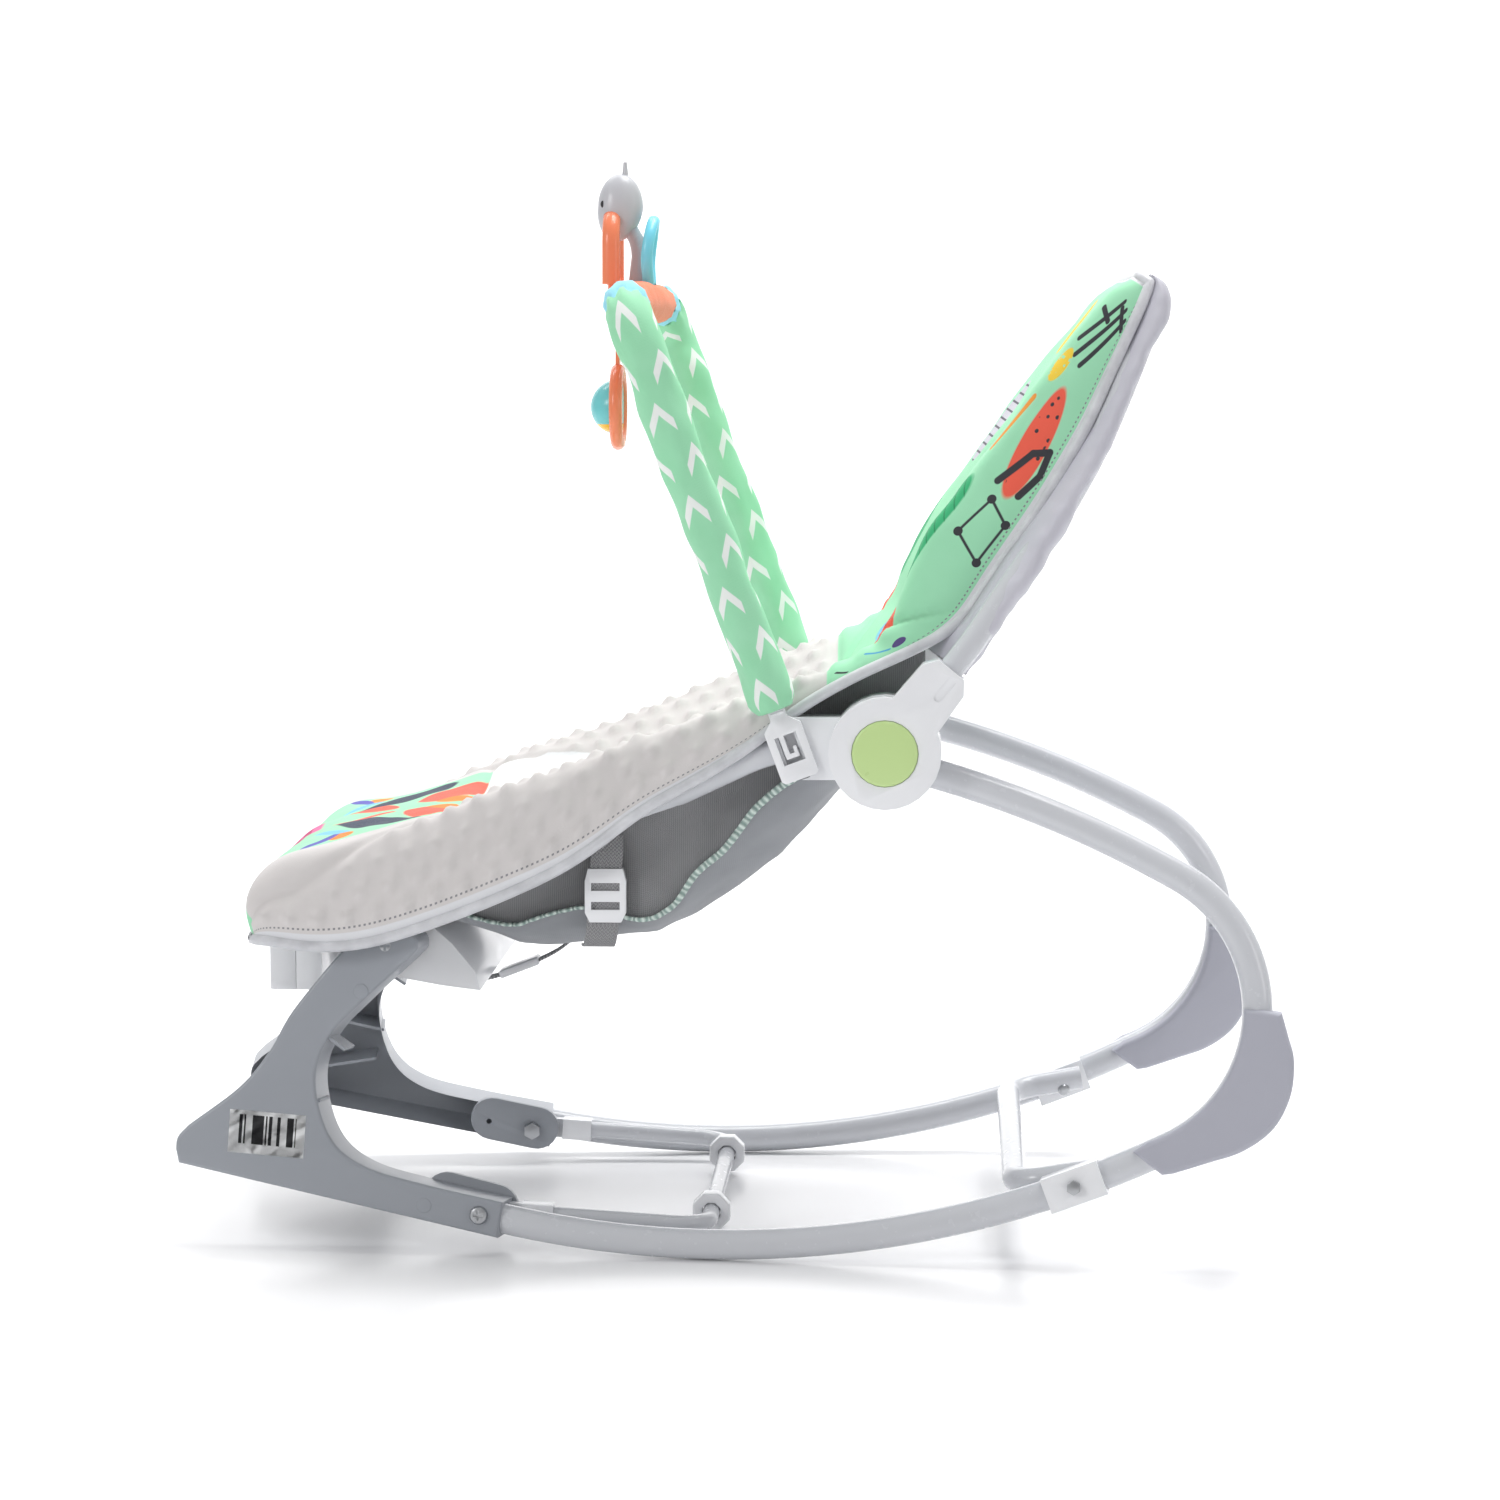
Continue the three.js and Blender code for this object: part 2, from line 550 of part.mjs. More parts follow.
const buttonSpring = () => new THREE.ExtrudeGeometry(circle(spring.wire, 4),
  { steps: 28, bevelEnabled: false, extrudePath: new Helix() });

function pivotBolt() {
  const seat = pocket + gap;
  const head = turned([[0, seat], [hubBolt.head, seat], [hubBolt.head, seat + 2],
    [hubBolt.head - 1, seat + 2.4], [0, seat + 2.4]], hub.x, hub.z);
  return join(head, hubPin(hubBolt.radius, hub.inner - 6, seat + 1, 8), // and its nut
    pin(6.5, hub.inner - 5, hub.inner - gap, hub.x, hub.z, 6));
}

// ---- Toy bar ---------------------------------------------------------------
// Local z runs up the arm of the toy bar and x across it, from the foot of the clip.
const archLine = new THREE.Vector3(-Math.sin(arch.tilt), 0, Math.cos(arch.tilt));
const clipFoot = { x: arch.x + clip.length * Math.sin(arch.tilt) * 0.86, z: tab.low };

const alongArch = (geometry) => geometry.rotateY(-arch.tilt).translate(clipFoot.x, 0, clipFoot.z);

function archPath(from) {
  const height = (arch.z + arch.height - clipFoot.z) / Math.cos(arch.tilt) - 13;
  const at = (s) => [clipFoot.x + archLine.x * s, arch.y, clipFoot.z + archLine.z * s];
  return roundedPath(mirrored([at(from), [...at(height), 34, 4]]));
}

const archTop = archPath(0).getPoint(0.5);

function toyBarClip() {
  const wide = clip.width / 2;
  const shape = outline([[-wide, 2], [-wide + 2, 0], [wide - 2, 0], [wide, 2], [wide, 34], [5.5, 40],
    [5.5, clip.length], [-5.5, clip.length], [-5.5, 40], [-wide, 34]]);
  shape.holes.push(new THREE.Path([[-7, 11], [7, 11], [7, 29], [-1.2, 29], [-1.2, 17], [2, 17], [2, 21],
    [4.2, 21], [4.2, 14], [-4.2, 14], [-4.2, 29], [-7, 29]].map(([x, z]) => new THREE.Vector2(x, z))));
  const face = hub.split + gap / 2;
  const web = prism(shape, face, face + clip.thickness);
  const lugs = [[1, 9], [31, 38]].map(([low, high]) =>
    box(-clip.key / 2, clip.key / 2, face - keyDepth, face + 1, low, high));
  const plugRadius = arch.radius - arch.wall - slack;
  const plug = new THREE.CylinderGeometry(plugRadius, plugRadius, 28, 8).rotateX(Math.PI / 2)
    .translate(0, arch.y, clip.length + 6);
  const ribs = [43, 46, 49].map((z) => box(-4, 4, face + 3, face + clip.thickness + 0.8, z, z + 1.2));
  const block = box(-5.5, 5.5, face, arch.y + 2, clip.length - 9, clip.length);
  return alongArch(join(web, ...lugs, plug, ...ribs, block));
}

const toyBarTube = () =>
  sweep(circle(arch.radius, 10, arch.radius - arch.wall, 8), archPath(clip.length + 0.5));

const toyBarSleeve = () => sweep(circle(sleeve.radius, 10, arch.radius + gap + slack, 8),
  archPath(clip.length + sleeve.start));

// A ring standing in the YZ plane.
const ring = (radius, wire, x, z, sides = 6, round = 16) =>
  new THREE.TorusGeometry(radius, wire, sides, round).rotateY(Math.PI / 2).translate(x, 0, z);

// Rounded head on a curved post that stands on the middle of the toy bar.
function toyHead() {
  const head = new THREE.SphereGeometry(1, 12, 8).scale(15, 12, 22)
    .translate(archTop.x - 15, 0, archTop.z + 62);
  const post = sweep(circle(4.5, 8), roundedPath([
    [archTop.x - 3, 0, archTop.z + sleeve.radius + gap], [archTop.x - 1, 0, archTop.z + 34, 30, 3],
    [archTop.x - 14, 0, archTop.z + 58]]));
  const crest = new THREE.ConeGeometry(3, 12, 6).translate(0, 5, 0).rotateX(Math.PI / 2)
    .translate(archTop.x - 12, 0, archTop.z + 81);
  return cut(join(head, post, crest), archLoop(toy.loopWire + gap));
}

// The arch threads through a hole in the head, so its loop is drawn at any wire size.
function archLoop(wire) {
  const z = archTop.z + 38;
  const low = archTop.z + sleeve.radius + gap;
  const legs = bothSides(new THREE.CylinderGeometry(wire, wire, z + 1 - low, 6).rotateX(Math.PI / 2)
    .translate(archTop.x - 20, toy.loop, (z + 1 + low) / 2));
  return join(cut(ring(toy.loop, wire, archTop.x - 20, z), box(-200, 100, -60, 60, 0, z)), ...legs);
}

function toyArch() {
  const low = archTop.z + sleeve.radius + gap;
  return join(archLoop(toy.loopWire), box(archTop.x - 23, archTop.x - 17, -20, 20, low, low + 4));
}

function toyLeaf() {
  const s = new THREE.Shape();
  s.moveTo(-9, 0);
  s.quadraticCurveTo(-22, 30, 0, 42);
  s.quadraticCurveTo(22, 30, 9, 0);
  return new THREE.ExtrudeGeometry(s, { depth: 4, bevelEnabled: false, curveSegments: 6 })
    .rotateX(Math.PI / 2).rotateZ(Math.PI / 2)
    .translate(archTop.x + 4.2, 0, archTop.z + sleeve.radius + gap);
}

const toyHang = { x: archTop.x - toy.hangX, z: archTop.z - toy.drop };

const toyPin = (radius, from, to) => pin(radius, from, to, toyHang.x, toyHang.z, 12);

function hangingRing() {
  const low = toyHang.z + toy.ring + 3;
  const high = archTop.z - sleeve.radius - 2;
  const link = box(toyHang.x - 1.2, toyHang.x + 1.2, -6, 6, low, high);
  return cut(join(ring(toy.ring, toy.ringWire, toyHang.x, toyHang.z), link),
    ...bothSides(toyPin(toy.pin + gap, toy.ring - 7, toy.ring - 1.5)));
}

// Half ball that turns in the ring on two small pins.
function spinnerDome() {
  const dome = new THREE.SphereGeometry(toy.dome, 14, 8).translate(toyHang.x, 0, toyHang.z);
  const half = cut(dome, box(toyHang.x + 2.5, 100, -60, 60, 0, 900));
  return join(half, toyPin(toy.pin, -toy.ring + 2.4, toy.ring - 2.4));
}

// ---- Front cross member and vibration unit ---------------------------------
function frontBracket() {
  const shape = outline([[-240, 182], [-232, 172], [-212, 168], [-184, 163], [-160, 160], [-163, 172],
    [-178, 190], [-196, 206], [-232, 206], [-240, 200]]);
  const beam = cut(prism(shape, -bracket.half, bracket.half),
    prism(inset(shape, bracket.wall), -bracket.half + 24, bracket.half - 24));
  const screw = onSide(pin(3 + gap, -50, 10, pivot.x, pivot.z, 12));
  const drain = box(-214, -188, -bracket.half + 30, bracket.half - 30, 150, 180);
  return cut(beam, seatEnvelope, ...bothSides(screw), drain);
}

const unitFront = unit.x - unit.depth / 2;
const unitRear = unit.x + unit.depth / 2;

function unitBox(x0, x1, wall) {
  const [w, z0, z1, r] = [unit.half - wall, unit.low + wall, unit.high - wall, 7 - wall];
  const s = new THREE.Shape();
  s.moveTo(-w + r, z0);
  s.lineTo(w - r, z0);
  s.quadraticCurveTo(w, z0, w, z0 + r);
  s.lineTo(w, z1);
  s.lineTo(-w, z1);
  s.lineTo(-w, z0 + r);
  s.quadraticCurveTo(-w, z0, -w + r, z0);
  return prism(s, 0, 1, 3).rotateZ(-Math.PI / 2).scale(x1 - x0, 1, 1).translate(x0, 0, 0);
}

function unitFrontShell() {
  return cut(unitBox(unitFront, unit.x - gap / 2, 0), unitBox(unitFront + unit.wall, unit.x + 1, unit.wall),
    box(unitFront - 1, unit.x - 8, -8, 8, 171.5, 178.5));
}

// Rear half, with two collars that hang it on the front of the seat tube.
function unitRearShell() {
  const shell = cut(unitBox(unit.x + gap / 2, unitRear, 0),
    unitBox(unit.x - 1, unitRear - unit.wall, unit.wall));
  const top = seatTube.frontZ + seatTube.radius + gap + 1.8;
  const collars = bothSides(box(seatTube.frontX - 11, seatTube.frontX + 12, 28, 38, unit.high + gap, top));
  const posts = bothSides(box(unit.x + 1, seatTube.frontX + 12, 28, 38, unit.high - 4, unit.high + 2));
  return cut(join(shell, ...collars, ...posts), seatEnvelope);
}

function powerSwitch() {
  const x = unitFront + unit.wall + gap;
  return join(box(x, x + 1.8, -9, 9, 169.5, 180.5), box(unitFront - 2.4, x + 0.5, -4, 4, 171.8, 178.2));
}

const worksPin = (radius, from, to, segments = 16) => pin(radius, from, to, works.x, works.z, segments);

const battery = () => worksPin(cell.radius, -43, -43 + cell.length);

const motorEnd = works.motorY + motor.length;

const vibrationMotor = () => cut(worksPin(motor.radius, works.motorY, motorEnd),
  worksPin(motor.shaft + gap, motorEnd - 7, motorEnd + 1, 8));

function eccentricWeight() {
  const face = motorEnd + gap;
  const disc = cut(worksPin(motor.weight, face, face + 6),
    box(works.x - 20, works.x + 20, face - 1, face + 7, works.z + 1.5, works.z + 20));
  return join(disc, worksPin(motor.shaft, face - 6, face + 1, 8));
}

// ---- Soft parts, as plain closed solids ------------------------------------
// A block bent over rows of stations: section(row, k, inner) gives [x, y, z] for k = 0 (middle) to last.
function draped(rows, last, section) {
  const g = new THREE.BoxGeometry(1, 1, 1, rows.length - 1, 2 * last, 1);
  const p = g.getAttribute('position');
  for (let i = 0; i < p.count; i++) {
    const row = rows[Math.round((p.getX(i) + 0.5) * (rows.length - 1))];
    const k = Math.round(p.getY(i) * 2 * last);
    const [x, y, z] = section(row, Math.abs(k), p.getZ(i) < 0);
    p.setXYZ(i, x, Math.sign(k) * y, z);
  }
  return g;
}

const spread = [0, 0.24, 0.46, 0.64, 0.8, 0.945, 1];
const rise = [0, 0.06, 0.25, 0.55, 0.9, 1];

// Rows of the seat: x, hem height, crest height, middle height.
const seatRows = [
  [-298, 200, 240, 229],
  [-250, 197, 256, 241],
  [-186, 212, 272, 250],
  [-104, 247, 302, 251],
  [-41, 291, 326, 249],
  [10, 329, 349, 270],
  [48, 354, 363, 306],
  [82, 372, 378, 340],
];

function seatPad() {
  return draped(seatRows, 6, ([x, hem, crest, middle], k, inner) => {
    if (k === 6) return [x, pad.half - (inner ? pad.skirt - 1 : 0), hem];
    const y = pad.half * spread[k] - (inner && k === 5 ? pad.skirt : 0);
    return [x, y, middle + (crest - middle) * rise[k] - (inner ? pad.thickness : 0)];
  });
}

// Rows of the back: hem x and z, crest x and z, how far the middle sits behind the crest, and how
// much narrower than the seat the row is on each side.
const backRows = [
  [114, 386, 90, 392, 22, 10],
  [146, 400, 104, 416, 24, 10],
  [169, 436, 126, 452, 22, 12],
  [197, 477, 158, 496, 16, 15],
  [223, 521, 190, 540, 10, 18],
  [243, 568, 220, 579, 4, 23],
  [258, 606, 246, 608, 0, 32],
];

function backPadSolid() {
  return draped(backRows, 6, ([hemX, hemZ, crestX, crestZ, sink, narrower], k, inner) => {
    const half = pad.half - narrower;
    const lean = Math.atan2(hemX - crestX, crestZ - hemZ + 40);
    if (k === 6) return [hemX, half - (inner ? pad.skirt : 0), hemZ];
    const back = sink * (1 - rise[k]) + (inner ? backPad.thickness : 0);
    const y = half * spread[k] - (inner && k === 5 ? pad.skirt : 0);
    return [crestX + back * Math.cos(lean), y, crestZ - back * Math.sin(lean)];
  });
}

// Rows of the under-sling: x, edge height, how far in from the seat's edge it is sewn, bottom height.
const slingRows = [
  [-186, 211, 64, 203],
  [-150, 222, 58, 188],
  [-110, 244, 49, 187],
  [-60, 272, 40, 193],
  [-10, 296, 33, 220],
  [30, 306, 27, 248],
  [56, 310, 26, 280],
];

function underSling() {
  const share = [0, 0.35, 0.65, 0.86, 1];
  const lift = [0, 0.03, 0.14, 0.45, 1];
  return draped(slingRows, 4, ([x, edge, narrower, low], k, inner) => {
    const half = pad.half - narrower;
    const thin = inner ? sling.thickness : 0;
    return [x, half * share[k] - thin * lift[k], low + (edge - low) * lift[k] + thin * (1 - lift[k])];
  });
}

// Webbing that passes through the buckle, from the seat's edge to the sling.
function sideStrap() {
  const half = strap.width / 2;
  return box(strap.x - half, strap.x + half, strap.y - strap.thickness / 2, strap.y + strap.thickness / 2,
    strap.low, strap.high);
}

function sideBuckle() {
  const [w, h] = [buckle.width / 2, buckle.height / 2];
  const s = outline([[-w + 3, -h], [w - 3, -h], [w, -h + 6], [w, h - 8], [w - 2, h], [-w + 2, h], [-w, h - 8],
    [-w, -h + 6]]);
  const body = prism(s, strap.y - buckle.thickness / 2, strap.y + buckle.thickness / 2)
    .translate(strap.x, 0, buckle.z);
  const windows = [-9, 3].map((z) => box(strap.x - w + 4, strap.x + w - 4, strap.y - 10, strap.y + 10,
    buckle.z + z, buckle.z + z + 5));
  const slot = box(strap.x - strap.width / 2 - gap, strap.x + strap.width / 2 + gap,
    strap.y - strap.thickness / 2 - gap, strap.y + strap.thickness / 2 + gap, 100, 300);
  return cut(body, slot, ...windows);
}

// ---- Materials and assembly ------------------------------------------------
const finish = (color, roughness, metalness = 0) =>
  new THREE.MeshStandardMaterial({ color, roughness, metalness });

const grey = finish('#9fa4ab', 0.4);
const paint = finish('#d5d7dc', 0.3, 0.2);
const rubber = finish('#b5b6c0', 0.7);
const white = finish('#f4f4f6', 0.25);
const lime = finish('#d6e8b0', 0.35);
const steel = finish('#c4c6c8', 0.3, 1);
const plush = finish('#d9d6d6', 0.95);
const print = finish('#a8e3c0', 0.85);
const mesh = finish('#7d8084', 0.9);
const webbing = finish('#9a9a9a', 0.85);
const orange = finish('#f88a63', 0.35);
const cyan = finish('#7fd6d9', 0.35);
const blue = finish('#8fe0f5', 0.6);
const dark = finish('#34363a', 0.5);

const object = new THREE.Group();

function add(group, name, geometry, material) {
  const node = new THREE.Mesh(closed(geometry), material);
  node.name = name;
  group.add(node);
}

const leaning = [
  ['leg', legShell(), grey],
  ['leg_plate', legPlate(), grey],
  ['rocker_tube', rockerTube(), paint],
  ['rear_stop', rearStop(), rubber],
  ['crossbar_clamp', crossbarClamp(), white],
  ['clamp_bolt', clampBolt(), steel],
  ['kickstand_bolt', kickstandBolt(), steel],
  ['leg_screw', pivotScrew(), steel],
];

const upright = [
  ['kickstand_end', kickstandEnd(), white],
  ['kickstand_foot', kickstandFoot(), white],
  ['hub_base', hubBase(), white],
  ['hub_cover', hubCover(), white],
  ['recline_button', reclineButton(), lime],
  ['lock_gear', lockGear(), dark],
  ['button_spring', buttonSpring(), steel],
  ['hub_bolt', pivotBolt(), steel],
  ['toy_bar_clip', toyBarClip(), white],
  ['side_strap', sideStrap(), webbing],
  ['side_buckle', sideBuckle(), white],
];

for (const [name, hand] of [['left', 1], ['right', -1]]) {
  const half = new THREE.Group();
  half.scale.y = hand;
  const frame = new THREE.Group();
  frame.position.copy(sideFrame.position);
  frame.rotation.copy(sideFrame.rotation);
  leaning.forEach(([part, geometry, material]) => add(frame, `${name}_${part}`, geometry, material));
  upright.forEach(([part, geometry, material]) => add(half, `${name}_${part}`, geometry, material));
  half.add(frame);
  object.add(half);
}

add(object, 'rear_crossbar', rearCrossbar(), paint);
add(object, 'kickstand_tube', kickstandTube(), paint);
add(object, 'seat_tube', seatPipe(), paint);
add(object, 'back_tube', backPipe(), paint);
add(object, 'front_bracket', frontBracket(), white);
add(object, 'vibration_front_shell', unitFrontShell(), white);
add(object, 'vibration_rear_shell', unitRearShell(), white);
add(object, 'power_switch', powerSwitch(), grey);
add(object, 'battery', battery(), dark);
add(object, 'vibration_motor', vibrationMotor(), steel);
add(object, 'eccentric_weight', eccentricWeight(), steel);
add(object, 'toy_bar_tube', toyBarTube(), white);
add(object, 'toy_bar_sleeve', toyBarSleeve(), print);
add(object, 'toy_head', toyHead(), grey);
add(object, 'toy_arch', toyArch(), orange);
add(object, 'toy_leaf', toyLeaf(), blue);
add(object, 'hanging_ring', hangingRing(), orange);
add(object, 'spinner_dome', spinnerDome(), cyan);
add(object, 'seat_pad', seatPad(), plush);
add(object, 'back_pad', backPadSolid(), print);
add(object, 'under_sling', underSling(), mesh);

export default object;
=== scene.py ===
import math

import bmesh
import bpy
import numpy as np
from mathutils import Euler, Matrix, Vector
from mathutils import noise as turbulence


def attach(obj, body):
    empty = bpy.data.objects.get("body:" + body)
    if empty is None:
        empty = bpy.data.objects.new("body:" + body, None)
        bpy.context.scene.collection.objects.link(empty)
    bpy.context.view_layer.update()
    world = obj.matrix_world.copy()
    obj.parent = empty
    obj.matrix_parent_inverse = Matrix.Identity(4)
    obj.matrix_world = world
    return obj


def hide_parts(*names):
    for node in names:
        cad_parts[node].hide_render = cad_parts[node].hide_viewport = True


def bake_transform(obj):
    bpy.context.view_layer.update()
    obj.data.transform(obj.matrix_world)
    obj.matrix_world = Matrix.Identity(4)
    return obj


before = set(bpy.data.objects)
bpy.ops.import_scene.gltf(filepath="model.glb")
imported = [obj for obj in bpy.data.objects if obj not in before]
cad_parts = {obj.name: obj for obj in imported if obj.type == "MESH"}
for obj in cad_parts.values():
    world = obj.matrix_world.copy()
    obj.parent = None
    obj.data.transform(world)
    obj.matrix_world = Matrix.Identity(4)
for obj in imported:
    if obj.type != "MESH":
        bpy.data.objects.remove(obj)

MM = 0.001
scene = bpy.context.scene
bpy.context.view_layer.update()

# ---- Camera ----------------------------------------------------------------
# A long lens at seat height, a little in front of the hubs and looking slightly down.
camera = bpy.data.objects.new("camera", bpy.data.cameras.new("camera"))
scene.collection.objects.link(camera)
camera.location = (0.1375, -2.8927, 0.581)
camera.rotation_euler = Euler((math.radians(90 - 5.47), 0, math.radians(2.58)))
camera.data.lens = 105.6
camera.data.sensor_width = 36
scene.camera = camera
scene.view_settings.view_transform = "Standard"


# ---- Floor and light -------------------------------------------------------
# A pale glossy sweep under soft studio panels, bright enough to fall away to white.
class Signal:
    """A shader socket that can be added, multiplied and compared like a number."""

    def __init__(self, tree, socket):
        self.tree, self.socket = tree, socket

    def math(self, operation, *others, clamp=False):
        node = self.tree.nodes.new("ShaderNodeMath")
        node.operation, node.use_clamp = operation, clamp
        for slot, value in zip(node.inputs, (self, *others)):
            if isinstance(value, Signal):
                self.tree.links.new(value.socket, slot)
            else:
                slot.default_value = value
        return Signal(self.tree, node.outputs[0])

    def __add__(self, other):
        return self.math("ADD", other)

    def __sub__(self, other):
        return self.math("SUBTRACT", other)

    def __mul__(self, other):
        return self.math("MULTIPLY", other)

    def __truediv__(self, other):
        return self.math("DIVIDE", other)

    def __rsub__(self, other):
        return (self * -1.0) + other

    __radd__ = __add__
    __rmul__ = __mul__

    def above(self, edge, soft):
        """0 below edge, 1 above edge + soft."""
        return ((self - edge) / soft).math("MINIMUM", 1.0).math("MAXIMUM", 0.0)


class Finish:
    """A material under construction: its tree, its main shader and its coordinates."""

    def __init__(self, name, color, roughness, metallic=0.0, **constants):
        self.material = bpy.data.materials.new(name)
        self.material.use_nodes = True
        self.tree = self.material.node_tree
        self.shader = self.tree.nodes["Principled BSDF"]
        self.set("Base Color", color)
        self.set("Roughness", roughness)
        self.set("Metallic", metallic)
        for socket, value in constants.items():
            self.set(socket.replace("_", " "), value)

    def set(self, socket, value):
        target = self.shader.inputs[socket]
        if isinstance(value, Signal):
            self.tree.links.new(value.socket, target)
        elif hasattr(value, "__len__") and len(value) == 3:
            target.default_value = (*value, 1.0)
        else:
            target.default_value = value
        return self

    def node(self, kind, inputs=(), output=0, **settings):
        made = self.tree.nodes.new("ShaderNode" + kind)
        for key, value in settings.items():
            setattr(made, key, value)
        for key, value in dict(inputs).items():
            slot = made.inputs[key]
            if isinstance(value, Signal):
                self.tree.links.new(value.socket, slot)
            elif hasattr(value, "__len__") and len(value) == 3 and len(slot.default_value) == 4:
                slot.default_value = (*value, 1.0)
            else:
                slot.default_value = value
        return Signal(self.tree, made.outputs[output])

    def place(self):
        return self.node("TexCoord", output="Object")

    def split(self, vector):
        return [self.node("SeparateXYZ", {"Vector": vector}, output=axis) for axis in range(3)]

    def noise(self, scale, detail=2.0, vector=None, roughness=0.5):
        inputs = {"Vector": vector or self.place(), "Scale": scale, "Detail": detail, "Roughness": roughness}
        return self.node("TexNoise", inputs, output="Fac")

    def mix(self, mask, low, high):
        made = self.tree.nodes.new("ShaderNodeMix")
        made.data_type = "RGBA"
        for slot, value in ((0, mask), (6, low), (7, high)):
            if isinstance(value, Signal):
                self.tree.links.new(value.socket, made.inputs[slot])
            else:
                made.inputs[slot].default_value = value if slot == 0 else (*value, 1.0)
        return Signal(self.tree, made.outputs[2])

    def bump(self, height, distance, strength=1.0):
        inputs = {"Height": height, "Distance": distance, "Strength": strength}
        return self.set("Normal", self.node("Bump", inputs))


def color(code):
    """A display colour code as linear light."""
    values = [int(code[i:i + 2], 16) / 255 for i in (0, 2, 4)]
    return tuple(v / 12.92 if v <= 0.04045 else ((v + 0.055) / 1.055) ** 2.4 for v in values)


backdrop_paper = Finish("backdrop_paper", color("fbfbfc"), 0.3, Specular_IOR_Level=0.4)
backdrop_paper.set("Roughness", backdrop_paper.noise(3.0) * 0.06 + 0.22)
BACKDROP = ((-5.0, 0), (2.2, 0), (2.9, 0.12), (3.4, 0.5), (3.65, 1.1), (3.7, 2.0), (3.7, 6.0))
paper = bmesh.new()
bmesh.ops.create_grid(paper, x_segments=1, y_segments=len(BACKDROP) - 1, size=1)
for vert in paper.verts:
    vert.co = (vert.co.x * 8, *BACKDROP[round((vert.co.y + 1) / 2 * (len(BACKDROP) - 1))])
for paper_face in paper.faces:
    paper_face.smooth = True
backdrop = bpy.data.objects.new("backdrop", bpy.data.meshes.new("backdrop"))
paper.to_mesh(backdrop.data)
paper.free()
backdrop.data.materials.append(backdrop_paper.material)
scene.collection.objects.link(backdrop)

world = bpy.data.worlds.new("studio")
world.use_nodes = True
world.node_tree.nodes["Background"].inputs["Color"].default_value = (1.0, 1.0, 1.0, 1.0)
world.node_tree.nodes["Background"].inputs["Strength"].default_value = 0.42
scene.world = world


def panel(name, place, target, size, power):
    light = bpy.data.lights.new(name, "AREA")
    light.shape, light.size, light.size_y, light.energy = "RECTANGLE", *size, power
    lamp = bpy.data.objects.new(name, light)
    lamp.location = place
    lamp.rotation_euler = (Vector(target) - Vector(place)).to_track_quat("-Z", "Y").to_euler()
    scene.collection.objects.link(lamp)


panel("panel_top", (0.5, 0.1, 2.6), (0, 0, 0.2), (1.2, 1.0), 34)
panel("panel_left", (-2.2, -2.0, 1.5), (0, 0, 0.3), (0.7, 0.9), 22)
panel("panel_right", (2.6, -1.4, 0.9), (0, 0, 0.3), (0.5, 1.2), 6)
panel("panel_backdrop", (0.0, 1.4, 3.4), (0, 3.4, 1.0), (5.0, 1.4), 150)


# ---- Rocker tubes ----------------------------------------------------------
# One bent steel tube a side, 19 mm, powder coated light grey: a long floor arc, a tight
# rear bend and a straighter run up to the recline hub. The side frames lean and toe in.
LEAN, TOE, SIDE_OFFSET = math.radians(5.32), math.radians(4.69), 183.3
SIDE_FRAME = (Matrix.Translation((0, SIDE_OFFSET, 0)) @ Matrix.Rotation(TOE, 4, "Z")
              @ Matrix.Rotation(LEAN, 4, "X"))
MIRROR = Matrix.Diagonal((1, -1, 1, 1))
SIDES = (("left", Matrix.Identity(4)), ("right", MIRROR))
TUBE_RADIUS, ROCKER_RADIUS, ROCKER_LOW = 9.5, 650.0, -13.0
FRONT_ANGLE, REAR_ANGLE = math.radians(11.3), math.radians(26.5)


def rocker_height(x):
    return ROCKER_RADIUS + TUBE_RADIUS + 0.5 - math.sqrt(ROCKER_RADIUS ** 2 - (x - ROCKER_LOW) ** 2)


def heading_walk(start, angle, runs):
    """Points of a path in XZ made of (length or radius, turn, steps) runs."""
    points, here = [Vector(start)], Vector(start)
    for size, turn, steps in runs:
        for _ in range(steps):
            if turn == 0:
                here = here + Vector((math.cos(angle), 0, math.sin(angle))) * (size / steps)
            else:
                step = turn / steps
                chord = 2 * size * math.sin(step / 2)
                here = here + Vector((math.cos(angle + step / 2), 0, math.sin(angle + step / 2))) * chord
                angle += step
            points.append(here)
    return points


def round_corners(points):
    """Points of a polyline of (x, y, z, corner radius) with its corners rounded."""
    corners = [Vector(p[:3]) for p in points]
    path = [corners[0]]
    for before, here, after, point in zip(corners, corners[1:], corners[2:], points[1:]):
        into, out = (here - before).normalized(), (after - here).normalized()
        turn = into.angle(out)
        radius = point[3]
        start = here - into * radius * math.tan(turn / 2)
        inward = (out - into * out.dot(into)).normalized()
        centre = start + inward * radius
        steps = max(4, int(turn * 14))
        path += [centre - inward * radius * math.cos(turn * k / steps)
                 + into * radius * math.sin(turn * k / steps) for k in range(steps + 1)]
    return path + [corners[-1]]


def both_ways(points):
    return points + [(x, -y, *rest) for x, y, *rest in reversed(points)]


def smooth_edges(bm, angle=0.6):
    for face in bm.faces:
        face.smooth = True
    for edge in bm.edges:
        edge.smooth = edge.calc_face_angle(0) < angle


